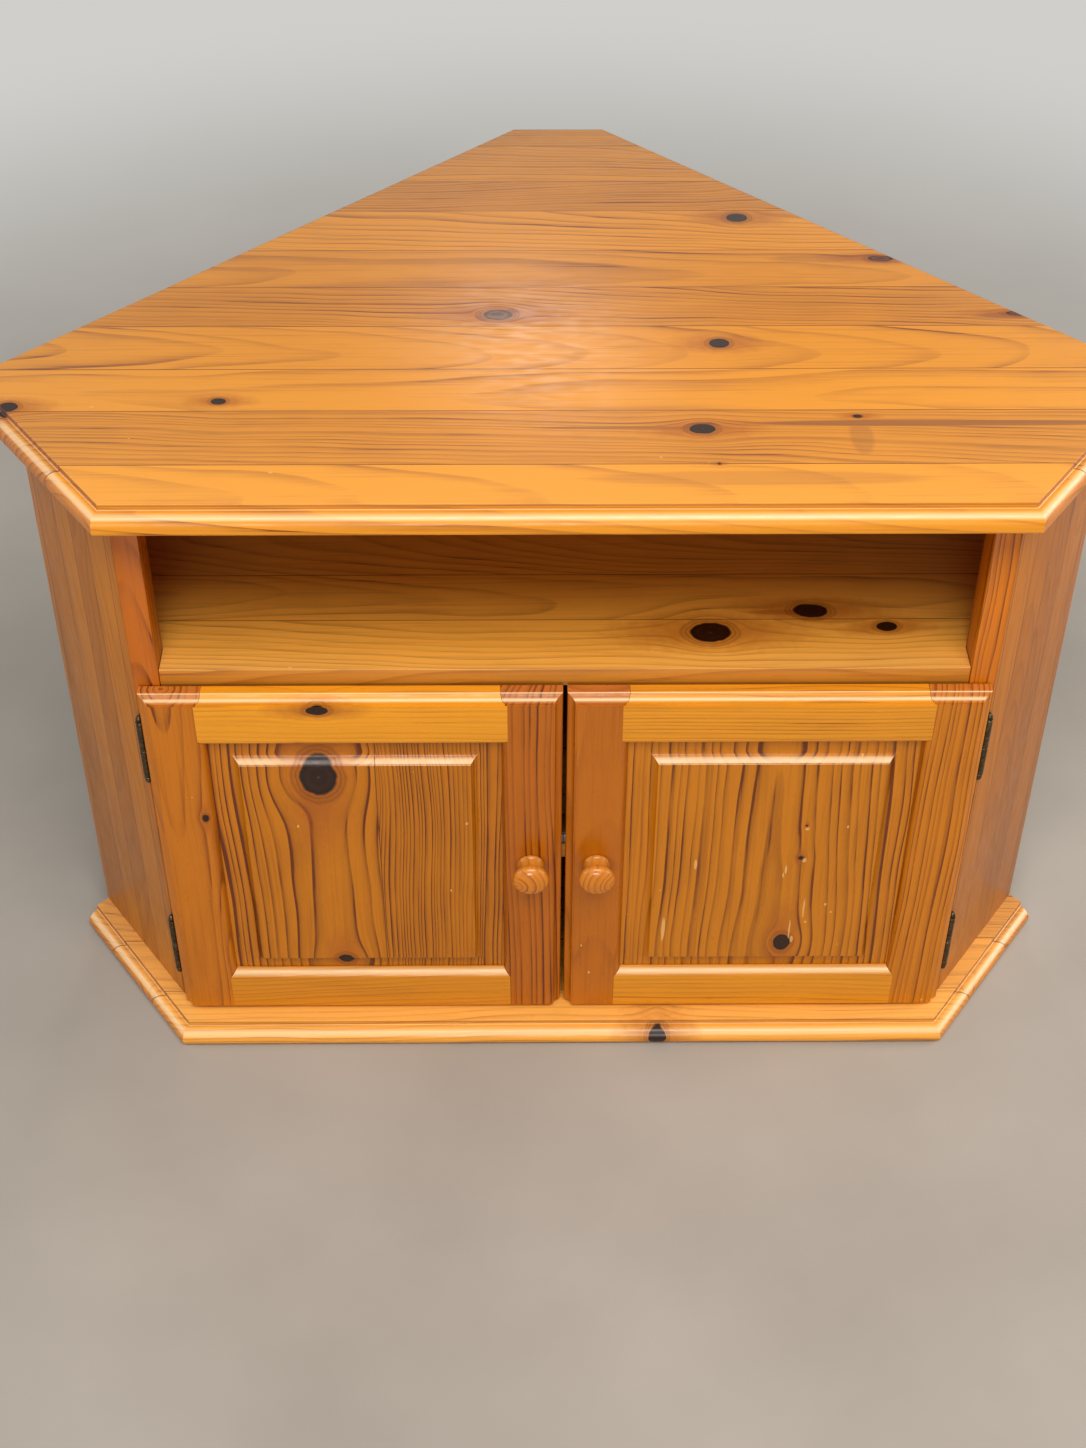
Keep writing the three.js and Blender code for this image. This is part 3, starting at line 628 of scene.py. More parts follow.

    # Painted highlight: the upper slope of a moulding, where its normal tilts up by one amount, is made pale as
    # if it caught the light
    upward = add("SeparateXYZ", seen["Normal"]).node.outputs[2]
    tilt = add("Math ABSOLUTE", add("Math SUBTRACT", upward, HIGHLIGHT_TILT))
    layers.append((add("MapRange", tilt, 0.1, 0.24, painted_highlight, 0.0), "#ffdea8"))

    # Knots: resin darkens the wood round them, and the knot has rings of its own
    ragged = add("TexNoise", Vector=place, Scale=0.11, Detail=2.0)
    knot_dark = 0.0
    hearts = {"live": ((0.0, "#200a04"), (0.2, "#5e2c10"), (0.36, "#4a1e08"), (0.55, "#7a3e14"),
                       (0.74, "#5a280a"), (0.9, "#2c1004"), (1.0, "#4a1e06")),
              "dead": ((0.0, "#6a3c20"), (0.06, "#2c1004"), (0.4, "#1e0a02"), (0.62, "#301204"),
                       (0.9, "#160702"), (1.0, "#341404"))}
    for kind in hearts:
        if nearest[kind] == FAR:
            continue
        stain = add("Math MULTIPLY", aura[kind], KNOT_SWAY)
        stain = add("Math MULTIPLY_ADD", ragged, 1.1, stain)
        layers.append((add("MapRange", stain, 1.45, 3.1, 0.6, 0.0), "#a8560e"))
        reach = add("Math MULTIPLY", nearest[kind], KNOT_SWAY)
        reach = add("Math MULTIPLY_ADD", ragged, 0.24, reach)
        reach = add("Math SUBTRACT", reach, 0.12)
        ridge = fill_ramp(add("ValToRGB", add("Math MULTIPLY", reach, 0.5)),
                          [(0.0, 0.0), (0.55, 0.0), (0.62, 0.55), (0.66, 0.1), (0.74, 0.4), (0.8, 0.0)])
        core = add("MapRange", reach, 0.97, 1.12, 1.0, 0.0)
        layers += [(ridge, "#5c2406"), (core, fill_ramp(add("ValToRGB", reach), hearts[kind]))]
        knot_dark = add("Math MAXIMUM", core, knot_dark)

    # Glue lines between the staves
    if len(staves) > 1:
        before = add("Math SUBTRACT", reads[1], GLUE_LINE)
        other = add("Group", before, node_tree=table).node.outputs
        same = add("Math COMPARE", other["Tone"], stave["Tone"], 0.004)
        layers.append((add("MapRange", same, 0.0, 1.0, 0.8, 0.0), "#5c2604"))

    # Painted shade: a dark band at one depth below the face, in the quirk under a moulding's arris
    for level, half, force in quirk_shade:
        away = add("Math ABSOLUTE", add("Math SUBTRACT", reads[2], level))
        layers.append((add("MapRange", away, 0.0, half, force, 0.0), "#6a2f06"))

    # Chips and dents, where pale wood shows through the lacquer
    cell_place = add("VectorMath MULTIPLY", place, (1 / 38, 1 / 22, 1 / 22))
    cell = add("TexVoronoi", Vector=cell_place, Scale=1.0, Randomness=1.0)
    lot = add("SeparateColor", cell.node.outputs["Color"])
    size = add("MapRange", lot, 1.0 - chips, 1.0, 0.0, 0.055)
    chip = add("Math LESS_THAN", cell, size)
    if scars:
        front_face = add("VectorMath DOT_PRODUCT", seen["Normal"], through)
        shown = add("MapRange", front_face, -0.6, -0.3, 1.0, 0.0)
    for where in scars:
        frayed = add("Math MULTIPLY_ADD", fibre, 1.2, oval(*where))
        scar = add("Math MULTIPLY", add("MapRange", frayed, 1.4, 1.6, 1.0, 0.0), shown)
        chip = add("Math MAXIMUM", chip, scar)
    layers.append((add("Math MULTIPLY", chip, 0.6), "#f0c07a"))
    for mask, layer in layers:
        colour = add("Mix", mask, colour, layer, data_type="RGBA")

    # Lacquer follows the wood a little: rings stand proud, pores and brush marks break the reflection
    skin_place = add("VectorMath MULTIPLY", place, (1 / 22, 1 / 7, 1 / 7))
    skin = add("TexNoise", Vector=skin_place, Scale=1.0, Detail=1.0)
    rough = add("MapRange", skin, 0.3, 0.7, gloss - 0.05, gloss + 0.07)
    rough = add("Math MULTIPLY_ADD", fibre, 0.08, rough)
    rough = add("Math MULTIPLY_ADD", chip, 0.3, rough)
    height = add("Math MULTIPLY_ADD", fibre, 0.55, dark)
    height = add("Math MULTIPLY_ADD", chip, -2.5, height)
    height = add("Math MULTIPLY_ADD", knot_dark, -1.2, height)
    relief = add("Bump", Height=height, Strength=0.35, Distance=0.08 * MM)
    add("OutputMaterial", add("BsdfPrincipled", Base_Color=colour, Roughness=rough, IOR=1.5, Normal=relief))
    return material


# %% [markdown]
# ## Top and base boards
#
# Each is one edge-glued board. A router runs one bit along the front and both returns, so the moulding meets
# itself in a crisp mitre at the corners, and the wall edges stay plain. The board starts as a flat face cut
# to the plan by five bisects. It is then extruded down level by level, and at each level its four moulded
# corners are pulled out along their mitres, which gives a moulding that stays true on every side.

# %% Cut a board to its plan
TOP = {"front": 36.0, "side": 18.8, "wall": 36.0, "thickness": 23.6, "nose": 10.3, "under": 4.0}
BASE = {"front": 34.6, "side": 13.8, "wall": 0.0, "thickness": 23.5, "nose": 11.5, "under": 8.2}
FILLET_DROP, SHOULDER_RUN, SHOULDER_DROP = 4.6, 1.6, 1.2
ARRIS, ARRIS_BEND = 0.6, 0.3
BELLY_SHARE, CROWN_SHARE = 0.52, 0.58
PLAIN_ARRIS = 0.8 * MM
PAST_SHOULDER = 8 * MM  # how far ahead of the shoulder the plain edges may begin
BLANK_HALF = 600 * MM  # half the side of the blank that a board is cut from


def board_profile(thickness, nose, under):
    """Reach beyond the fillet and height below the face, from the top down, in millimetres."""
    rise = FILLET_DROP + SHOULDER_DROP
    swell = (thickness - rise) * BELLY_SHARE
    belly = -rise - swell
    return profile([(-ARRIS, 0), (-ARRIS * ARRIS_BEND, -ARRIS * ARRIS_BEND), (0, -ARRIS), (0, -FILLET_DROP)],
                   (4, (0, -rise), (SHOULDER_RUN, -rise)),
                   (12, (nose * CROWN_SHARE, -rise), (nose, -rise - swell * CROWN_SHARE), (nose, belly)),
                   (1, (nose, -thickness + under)), (5, (nose, -thickness), (nose - under, -thickness)))


def board_corners(size, reach):
    """The right-hand corners on the front and the return, at one reach of the moulding."""
    front_out, side_out = (size["front"] + reach) * MM, (size["side"] + reach) * MM
    shoulder = shoulder_depth(side_out, size["wall"] * MM)
    return [Vector((return_x(-front_out, side_out), front - front_out, 0)),
            Vector((return_x(shoulder, side_out), front + shoulder, 0))]


def moulded_board(name, size, top, rear):
    """A board with its moulding, from its top face down."""
    levels = board_profile(size["thickness"], size["nose"], size["under"])
    first = board_corners(size, levels[0].x)
    board = primitive("plane", name, size=2 * BLANK_HALF, location=(0, first[0].y + BLANK_HALF, top))
    edit(board)
    wall_normal = Vector((1, 1, 0)).normalized()
    side_normal = Vector((math.sin(SPLAY), -math.cos(SPLAY), 0))
    cuts = [((hand * place.x, place.y, top), (hand * normal.x, normal.y, 0)) for hand in (1, -1)
            for place, normal in zip(first, (side_normal, wall_normal))]
    for place, normal in cuts + [((0, rear, top), INWARD)]:
        bpy.ops.mesh.select_all(action="SELECT")
        bpy.ops.mesh.bisect(plane_co=place, plane_no=normal, clear_outer=True)
    bpy.ops.mesh.select_all(action="SELECT")
    bpy.ops.mesh.remove_doubles(threshold=TINY)
    level = top
    now = first
    for here, there in zip(levels, levels[1:]):
        pick("FACE", lambda face: face.calc_center_median().z < level + TINY and abs(face.normal.z) > 0.9)
        bpy.ops.mesh.extrude_region_move(TRANSFORM_OT_translate={"value": (0, 0, (there.y - here.y) * MM)})
        level = top + there.y * MM
        if there.x == here.x:
            continue
        following = board_corners(size, there.x)
        for hand in (1, -1):
            for old, new in zip(now, following):
                corner = Vector((hand * old.x, old.y, level))
                pick("VERT", lambda vert: (vert.co - corner).length < 5 * TINY)
                shift(hand * (new.x - old.x), new.y - old.y, 0)
        now = following
    bpy.ops.mesh.select_all(action="SELECT")
    bpy.ops.mesh.normals_make_consistent()
    behind = first[1].y - PAST_SHOULDER
    plain = pick("EDGE", lambda edge: abs(edge.verts[0].co.z - edge.verts[1].co.z) < TINY
                 and min(abs(edge.verts[0].co.z - top), abs(edge.verts[0].co.z - level)) < TINY
                 and min(vert.co.y for vert in edge.verts) > behind
                 and abs((edge.verts[0].co - edge.verts[1].co).normalized().x) > 0.6)
    bpy.ops.mesh.bevel(offset=PLAIN_ARRIS, segments=2, affect="EDGES")
    object_mode()
    print(name, len(board.data.polygons), "faces,", plain, "plain edges eased")
    return board


# %% Pine of the two boards
# Painted shade on the fillet below the arris of both boards: (height, half width, strength)
BOARD_QUIRK_SHADE = [(-1.9, 1.5, 0.6), (-4.2, 1.8, 0.4)]
# Staves of the top, front to back: start, tone, pith across, pith depth, width of a ring
TOP_STAVES = [(-60, 0.04, -22, -78, 9.5), (14, 0.55, -60, -66, 5.0), (88, 0.2, 112, -60, 7.6),
              (150, 0.3, 182, -72, 7.2), (218, 0.62, 330, -52, 4.6), (284, 0.42, 304, -58, 6.2),
              (348, 0.22, 446, -60, 5.4), (420, 0.62, 540, -42, 3.8), (476, 0.45, 606, -58, 3.8),
              (548, 0.6, 660, -50, 4.2)]
TOP_KNOTS = [(161, 408, 7.6, 1.25, 0.9), (-56, 239, 8.2, 1.5, 0.3), (130, 193, 7.0, 1.2, 0.9),
             (-280, 106, 4.6, 1.3, 0.9), (108, 66, 6.8, 1.5, 0.7), (233, 83, 2.4, 1.6, 0.7),
             (283, 333, 5.0, 2.2, 0.2), (-448, 98, 6.5, 1.2, 0.8), (118, 20, 1.6, 0.9, 0.9),
             (391, 240, 4.0, 3.0, 0.2)]
TOP_STREAKS = [(300, 72, 4.0, 38, 0.85), (233, 50, 22, 0.4, 0.35), (45, 66, 2.0, 34, 0.7),
               (150, -4, 9, 14, 0.3), (392, 236, 6, 7, 0.8), (225, 333, 6, 7, 0.35)]
top_pine = pine("lacquered_pine_top", LEVEL, INWARD, (0, front, top_high.z), TOP_STAVES, "#ee9a1e",
                "#8a4206", TOP_KNOTS, TOP_STREAKS, seed=2.0, gloss=0.3, chips=0.25, contrast=1.0,
                quirk_shade=BOARD_QUIRK_SHADE)
BASE_STAVES = [(-60, 0.1, -70, -34, 5.5), (0, 0.4, 40, -40, 5.0)] + random_staves(5, 66, 560, 68)
base_pine = pine("lacquered_pine_base", LEVEL, INWARD, (0, front, base_high.z), BASE_STAVES, "#fcae40",
                 "#92480a", edge_knots=[(90, -13.5, 8.2, 1.0, 0.95)], seed=4.0, chips=0.3, contrast=0.8,
                 quirk_shade=BOARD_QUIRK_SHADE)
print("staves in the top:", len(TOP_STAVES), "and in the base:", len(BASE_STAVES))

# %% Model the two boards
both = (("top", TOP, top_high, top_pine), ("base", BASE, base_high, base_pine))
for name, size, corner, material in both:
    board = moulded_board("moulded_" + name, size, corner.z, corner.y)
    finish_piece(board, "carcass", material, "pine_board", name + "_board")

# %% [markdown]
# ## Returns, posts and shelves
#
# These are planed boards with no moulding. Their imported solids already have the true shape, with the mitre
# between post and return and the notches of the shelves. A real board never has a razor edge, so each is
# copied, its triangles are merged into whole faces, and its arrises are rounded by half a millimetre to one,
# which is what catches the light. The returns are glued from narrow upright boards, so their staves are
# counted along the splayed face.

# %% Ease the carcass boards
right_corner, left_corner = (HALF_WIDTH, front, 0), (-HALF_WIDTH, front, 0)
ALONG_RETURN = {1: (math.cos(SPLAY), math.sin(SPLAY), 0), -1: (math.cos(SPLAY), -math.sin(SPLAY), 0)}
RETURN_LOOK = {"gloss": 0.33, "chips": 0.2, "wander": 0.5, "contrast": 0.8}
DEEP_PITHS, NARROW_RINGS = (70, 130), (2.0, 3.0)

carcass_pines = {
    "right_return_panel": pine("lacquered_pine_right_return", UPRIGHT, ALONG_RETURN[1], right_corner,
                               random_staves(11, -30, 180, 34, DEEP_PITHS, NARROW_RINGS), "#c67612",
                               "#763c04", seed=7.0, **RETURN_LOOK),
    "left_return_panel": pine("lacquered_pine_left_return", UPRIGHT, ALONG_RETURN[-1], left_corner,
                              random_staves(12, -180, 30, 33, DEEP_PITHS, NARROW_RINGS), "#cc7c10",
                              "#7a3c02", seed=9.0, **RETURN_LOOK),
    "right_front_post": pine("lacquered_pine_right_post", UPRIGHT, LEVEL, right_corner,
                             [(-40, 0.4, -48, 26, 4.6)], "#e07e02", "#763200", seed=12.0, chips=0.3),
    "left_front_post": pine("lacquered_pine_left_post", UPRIGHT, LEVEL, left_corner,
                            [(-40, 0.4, 8, 22, 6.0)], "#ca6c02", "#6a2a00", seed=13.0, chips=0.3),
}
for node, material in carcass_pines.items():
    dressed(node, "_eased", 0.6 * MM, "carcass", material, "pine_side" if "return" in node else "pine_stile")

shelf_origin = (0, front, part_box("player_shelf")[1].z)
# The player shelf's front edge is darkened with painted shade.
shelf_pine = pine("lacquered_pine_player_shelf", LEVEL, INWARD, shelf_origin,
                  [(-20, 0.3, 90, -36, 6.2), (66, 0.42, 100, -52, 5.0), (129, 0.45, 190, -40, 5.4)]
                  + random_staves(21, 196, 540, 66), "#f8b040", "#8e5212",
                  [(124, 50, 12.5, 1.35, 0.95), (212, 77, 8.5, 1.7, 0.9), (275, 59, 5.5, 1.6, 0.9)],
                  [(190, 77, 3.5, 10, 0.5)], seed=15.0, gloss=0.3, chips=0.3, contrast=0.8, edge_shade=0.5)
inner_shelf_pine = pine("lacquered_pine_cupboard_shelf", LEVEL, INWARD, shelf_origin,
                        random_staves(22, -10, 540, 66), "#e0983a", "#86460e", seed=17.0, gloss=0.36)
for node, material in (("player_shelf", shelf_pine), ("cupboard_shelf", inner_shelf_pine)):
    dressed(node, "_eased", 1.0 * MM, "carcass", material, "pine_shelf")
print("eased boards:", len(finished) - 2)

# %% [markdown]
# ## Inside the carcass
#
# Cleats and battens are planed softwood with one thin coat, so they are paler and duller than the show wood.
# The rear post shows at the back of the open bay and is stained a little darker. The back is plywood, stained
# brown, whose face veneer is peeled from a turning log, which gives a broad wild figure. The plies on its
# edges are too thin to show and aren't drawn.

# %% Softwood and plywood inside
inner_pine = pine("planed_softwood", LEVEL, INWARD, (0, front, 0),
                  random_staves(31, -20, 560, 60, (24, 60), (2.6, 4.2)), "#dcae6c", "#a56c36", seed=19.0,
                  gloss=0.5, chips=0.1)
upright_pine = pine("planed_softwood_upright", UPRIGHT, LEVEL, (0, front, 0), [(-200, 0.4, 30, 36, 3.4)],
                    "#b98a4e", "#865a2c", seed=20.0, gloss=0.5, chips=0.1)


def plywood():
    """Stained plywood with the broad wild figure of a peeled veneer, and no lacquer."""
    material, add = new_material("peeled_veneer_plywood")
    here = add("TexCoord").node.outputs["Object"]
    warp = add("TexNoise", Vector=add("VectorMath MULTIPLY", here, (9, 9, 2.2)), Scale=1.0, Detail=3.0)
    rings = add("Math FRACT", add("Math MULTIPLY", warp, 24.0))
    figure = fill_ramp(add("ValToRGB", rings),
                       [(0.0, "#9e7242"), (0.6, "#946839"), (0.93, "#7a5026"), (1.0, "#9e7242")])
    thread = add("VectorMath MULTIPLY", here, (900, 900, 28))
    fibre = add("TexNoise", Vector=thread, Scale=1.0, Detail=2.0)
    colour = add("Mix", add("MapRange", fibre, 0.3, 0.7, 0.0, 0.35), figure, "#6c4622", data_type="RGBA")
    relief = add("Bump", Height=fibre, Strength=0.4, Distance=0.15 * MM)
    add("OutputMaterial", add("BsdfPrincipled", Base_Color=colour, Roughness=0.72, Normal=relief))
    return material


plywood_back = plywood()
for hand in ("left", "right"):
    dressed(hand + "_back_panel", "_eased", 0.3 * MM, "carcass", plywood_back, "plywood_back", segments=1)
strips = ["rear_player_shelf_cleat", "rear_cupboard_shelf_cleat"]
strips += [hand + kind for hand in ("left", "right")
           for kind in ("_player_shelf_cleat", "_cupboard_shelf_cleat", "_top_batten")]
for node in ["rear_post"] + strips:
    material = upright_pine if node == "rear_post" else inner_pine
    dressed(node, "_eased", 0.8 * MM, "carcass", material, "pine_inner")
print("inner pieces:", 3 + len(strips))

# %% [markdown]
# ## Doors
#
# The doors took the most skill. A joiner makes a frame of two stiles and two rails. A bit cuts a small round
# moulding and a groove along each inner edge, the rail ends are cut to the reverse of that moulding so that
# they fit over it, and the panel floats in the grooves. When the frame is glued, a second bit runs round the
# sides and the top and leaves a crisp arris, a hollow and a step. It crosses the ends of the stiles, so the
# top moulding shows end grain there.
#
# The model follows the same order. Each member starts as a block, and bars with the section of each bit's
# waste are taken away from it. The mitre at the top corner then comes by itself, where two cuts meet.

# %% Waste of each cutter
STILE_FACE, RAIL_FACE = 37.5 * MM, 39.0 * MM
EDGE_RUN, EDGE_DEPTH, EDGE_FILLET, EDGE_STEP = 8.2 * MM, 9.4 * MM, 1.2 * MM, 1.6 * MM
ARRIS_RUN, ARRIS_HANDLE, ARRIS_FOOT = 0.9 * MM, 1.3 * MM, 1.8 * MM
HOLLOW_HANDLES = ((0.6, 3.2 * MM), (0.98, 4.4 * MM))  # share of the run, and depth below the outer edge
STICKING_RUN, STICKING_DEPTH = 6.5 * MM, 8.0 * MM
GROOVE_FRONT, GROOVE_WIDTH, GROOVE_DEPTH = 9.0 * MM, 5.0 * MM, 9.0 * MM
JOINT_GAP = 0.25 * MM
BEYOND = 3.0 * MM  # how far a cutter runs past the wood
STILE_WIDTH = EDGE_RUN + STILE_FACE + STICKING_RUN
THICKNESS = door_back - door_face

hollow_foot = EDGE_RUN - EDGE_STEP
edge_curve = profile([(0, EDGE_DEPTH)],
                     (4, (0, EDGE_DEPTH - ARRIS_HANDLE), (ARRIS_RUN, EDGE_DEPTH - ARRIS_FOOT)),
                     (12, *((hollow_foot * share, EDGE_DEPTH - drop) for share, drop in HOLLOW_HANDLES),
                      (hollow_foot, EDGE_FILLET)), (1, (EDGE_RUN, EDGE_FILLET)))
edge_waste = edge_curve + profile([(EDGE_RUN, -BEYOND), (-BEYOND, -BEYOND), (-BEYOND, EDGE_DEPTH)])


def sticking_curve(width):
    """The small round moulding along an inner edge that lies a width in from the outer edge."""
    return curve_points([(width - STICKING_RUN, 0), (width - STICKING_RUN * 0.25, STICKING_DEPTH * 0.2),
                         (width, STICKING_DEPTH)], 8)


def sticking_waste(width):
    """What the bit takes off to leave that moulding."""
    return sticking_curve(width) + profile([(width + BEYOND, STICKING_DEPTH), (width + BEYOND, -BEYOND),
                                            (width - STICKING_RUN, -BEYOND)])


def groove_waste(width):
    """What leaves the groove for the panel."""
    low, high = width - GROOVE_DEPTH, width + BEYOND
    back = GROOVE_FRONT + GROOVE_WIDTH
    return profile([(low, GROOVE_FRONT), (high, GROOVE_FRONT), (high, back), (low, back)])


def scribe_waste(width):
    """What leaves a rail end so that it fits over the moulding of the stile."""
    over = [(p.x + JOINT_GAP, p.y - JOINT_GAP) for p in sticking_curve(width)]
    end, behind = width - STICKING_RUN - BEYOND, THICKNESS + BEYOND
    return profile(over + [(width + JOINT_GAP, behind), (end, behind), (end, -JOINT_GAP)])


def upright_cut(section, outer, hand, low, high):
    """A waste bar that runs up the door. Its section counts inwards from an outer edge."""
    corners = [(outer + hand * p.x, door_face + p.y, low) for p in section]
    return bar("waste", corners, (0, 0, high - low))


def level_cut(section, outer, hand, low, high):
    """A waste bar that runs across the door."""
    corners = [(low, door_face + p.y, outer + hand * p.x) for p in section]
    return bar("waste", corners, (high - low, 0, 0))


print("edge moulding:", len(edge_curve), "points")

# %% Stiles and rails
inner_edge = door_edge - STILE_WIDTH
inner_meet = door_meet + STILE_WIDTH
top_rail_low = door_top - EDGE_RUN - RAIL_FACE - STICKING_RUN
bottom_rail_high = door_bottom + RAIL_FACE + STICKING_RUN
across_door = (door_meet - BEYOND, door_edge + BEYOND)
up_door = (door_bottom - BEYOND, door_top + BEYOND)


def door_stile(name, outer, hand):
    """A stile from its outer edge inwards."""
    low, high = sorted((outer, outer + hand * STILE_WIDTH))
    stile = block(name, (low, door_face, door_bottom), (high, door_back, door_top))
    groove_ends = (bottom_rail_high - GROOVE_DEPTH, top_rail_low + GROOVE_DEPTH)
    take_away(stile, upright_cut(edge_waste, outer, hand, *up_door),
              upright_cut(sticking_waste(STILE_WIDTH), outer, hand, *up_door),
              upright_cut(groove_waste(STILE_WIDTH), outer, hand, *groove_ends),
              level_cut(edge_waste, door_top, -1, *across_door))
    return stile


def door_rail(name, low, high, moulded):
    """A rail between the stiles, scribed over their mouldings at both ends."""
    start, stop = inner_meet - STICKING_RUN, inner_edge + STICKING_RUN
    rail = block(name, (start, door_face, low), (stop, door_back, high))
    outer, hand = (door_top, -1) if moulded else (door_bottom, 1)
    cuts = [level_cut(waste(high - low), outer, hand, *across_door)
            for waste in (sticking_waste, groove_waste)]
    cuts += [upright_cut(scribe_waste(STILE_WIDTH), edge, way, *up_door)
             for edge, way in ((door_edge, -1), (door_meet, 1))]
    if moulded:
        cuts.append(level_cut(edge_waste, door_top, -1, *across_door))
    take_away(rail, *cuts)
    return rail


door_parts = {"hinge_stile": door_stile("hinge_stile", door_edge, -1),
              "meeting_stile": door_stile("meeting_stile", door_meet, 1),
              "top_rail": door_rail("top_rail", top_rail_low, door_top, True),
              "bottom_rail": door_rail("bottom_rail", door_bottom, bottom_rail_high, False)}
print({part: len(piece.data.polygons) for part, piece in door_parts.items()}, "faces")

# %% [markdown]
# ## Raised panel
#
# The panel is a solid board that thins to a tongue all round. The flat border that shows is widest at the
# sides and narrowest below, so the front face is inset by the narrowest and then scaled to its place. From
# the border a hollow bevel rises to the field and ends in a tiny upright step. Insetting the face a little
# at a time, and moving it forward with each inset, draws that bevel with true mitres at its corners.

# %% Raised panel
SIDE_BORDER, TOP_BORDER, BOTTOM_BORDER = 17.0 * MM, 13.4 * MM, 9.8 * MM
FIELD_BEVEL, FIELD_FILLET, FIELD_SET = 9.0 * MM, 1.2 * MM, 1.5 * MM
TONGUE_REACH = 8.0 * MM
TONGUE_FRONT, TONGUE_BACK = 9.3 * MM, 13.7 * MM
FIELD_ARRIS = 0.3 * MM
BEVEL_REACH, BEVEL_RISE = 0.62, 0.12  # shares of the bevel at its middle handle

field_rise = TONGUE_FRONT - FIELD_SET
panel_low = (inner_meet - TONGUE_REACH, door_face + TONGUE_FRONT, bottom_rail_high - TONGUE_REACH)
panel_high = (inner_edge + TONGUE_REACH, door_face + TONGUE_BACK, top_rail_low + TONGUE_REACH)
panel = block("raised_panel", panel_low, panel_high)
bevel = profile([(0, 0)], (9, (FIELD_BEVEL * BEVEL_REACH, field_rise * BEVEL_RISE),
                           (FIELD_BEVEL, field_rise - FIELD_FILLET)),
                (1, (FIELD_BEVEL, field_rise - FIELD_ARRIS)), (1, (FIELD_BEVEL + FIELD_ARRIS, field_rise)))
edit(panel)
pick("FACE", lambda face: face.normal.y < -0.9)
bpy.ops.mesh.inset(thickness=TONGUE_REACH + BOTTOM_BORDER, depth=0)
wide, high = inner_edge - inner_meet, top_rail_low - bottom_rail_high
narrower = (wide - 2 * SIDE_BORDER) / (wide - 2 * BOTTOM_BORDER)
lower = (high - TOP_BORDER - BOTTOM_BORDER) / (high - 2 * BOTTOM_BORDER)
foot_of_field = ((inner_meet + inner_edge) / 2, door_face + TONGUE_FRONT, bottom_rail_high + BOTTOM_BORDER)
bpy.ops.transform.resize(value=(narrower, 1, lower), center_override=foot_of_field)
for here, there in zip(bevel, bevel[1:]):
    bpy.ops.mesh.inset(thickness=max(there.x - here.x, TINY / 10), depth=there.y - here.y)
object_mode()
door_parts["panel"] = panel
print("panel", len(panel.data.polygons), "faces")

# %% Pine of the doors
face_origin = (0, door_face, 0)
# How much painted shade darkens the side edges of the stiles and panels
DOOR_EDGE_SHADE = 0.35
door_pines = {}


def door_pine(part, staves, early, late, **more):
    """Pine of one door part: upright in stiles and panels, and level in rails."""
    if "rail" in part:
        axes = (LEVEL, (0, 0, -1))
    else:
        axes = (UPRIGHT, LEVEL)
        more["edge_shade"] = DOOR_EDGE_SHADE
    door_pines[part] = pine("lacquered_pine_" + part, *axes, face_origin, staves, early, late, **more)


door_pine("left_hinge_stile", [(-400, 0.3, -338, 34, 5.2)], "#ce7804", "#7a3600",
          knots=[(275, -312, 2.8, 1.5, 0.8)], seed=31.0, chips=0.6, wander=0.7)
door_pine("left_meeting_stile", [(-80, 0.45, -100, 34, 5.6)], "#c76e02", "#6c2c00",
          seed=33.0, chips=0.5, wander=0.4, contrast=1.1)
door_pine("right_meeting_stile", [(0, 0.5, 30, 90, 9.0)], "#cd7402", "#7c3800",
          seed=35.0, chips=0.6, contrast=0.6)
door_pine("right_hinge_stile", [(280, 0.35, 268, 34, 5.4)], "#d88206", "#783400",
          seed=37.0, chips=0.6, wander=0.5)
door_pine("left_panel", [(-320, 0.35, -208, 58.4, 5.8), (-163, 0.5, -34, 46, 3.3)], "#d07e02", "#6a2c00",
          knots=[(322, -211, 15.6, 1.3, 0.98), (88, -201, 8.0, 1.1, 0.95)],
          seed=41.0, chips=0.7, wander=0.6, contrast=1.55)
door_pine("right_panel", [(60, 0.35, 186, 51.6, 6.8)], "#d48204", "#6e3000",
          knots=[(112, 202, 7.6, 1.35, 0.98), (222, 211, 2.2, 1.0, 0.9), (262, 213, 1.1, 1.0, 0.9)],
          scars=[(258, 214, 1.8, 1.0), (219, 214.5, 2.2, 1.4), (207, 199, 1.0, 5.0), (200, 197, 0.8, 4.0),
                 (158, 219, 0.8, 18.0), (130, 208, 0.9, 14.0), (162, 238, 1.3, 1.6), (139, 222, 1.1, 1.2),
                 (116, 211, 1.4, 3.2), (152, 244, 1.0, 1.2), (214, 118, 1.4, 5.0), (130, 92, 2.0, 9.0)],
          seed=43.0, chips=0.8, wander=0.6, contrast=1.35)
door_pine("left_top_rail", [(-430, 0.1, -520, -40, 5.2)], "#f4a21c", "#9c5804",
          knots=[(-207, -399, 4.6, 2.0, 0.9), (-226, -362, 1.6, 1.2, 0.9)],
          seed=45.0, chips=0.3, contrast=0.7, wander=0.5)
door_pine("left_bottom_rail", [(-90, 0.25, 30, -50, 4.2)], "#dc8c12", "#8a4602",
          seed=47.0, chips=0.3, contrast=0.8, wander=0.6)
door_pine("right_top_rail", [(-430, 0.3, -500, -30, 4.0)], "#f6a21c", "#8c4802",
          seed=49.0, chips=0.3, contrast=0.95, wander=0.5)
door_pine("right_bottom_rail", [(-90, 0.25, 20, -60, 4.6)], "#e69618", "#8c4a02",
          seed=51.0, chips=0.3, contrast=0.75, wander=0.5)
print("door pines:", len(door_pines))

# %% Finish both doors
for part, piece in door_parts.items():
    slot = "pine_" + part.split("_")[-1]
    twin = mirrored(piece, f"left_door_{part}_moulded")
    piece.name = f"right_door_{part}_moulded"
    finish_piece(piece, "right_door", door_pines["right_" + part], slot, "right_door_" + part)
    finish_piece(twin, "left_door", door_pines["left_" + part], slot, "left_door_" + part)
print("door pieces:", 2 * len(door_parts))

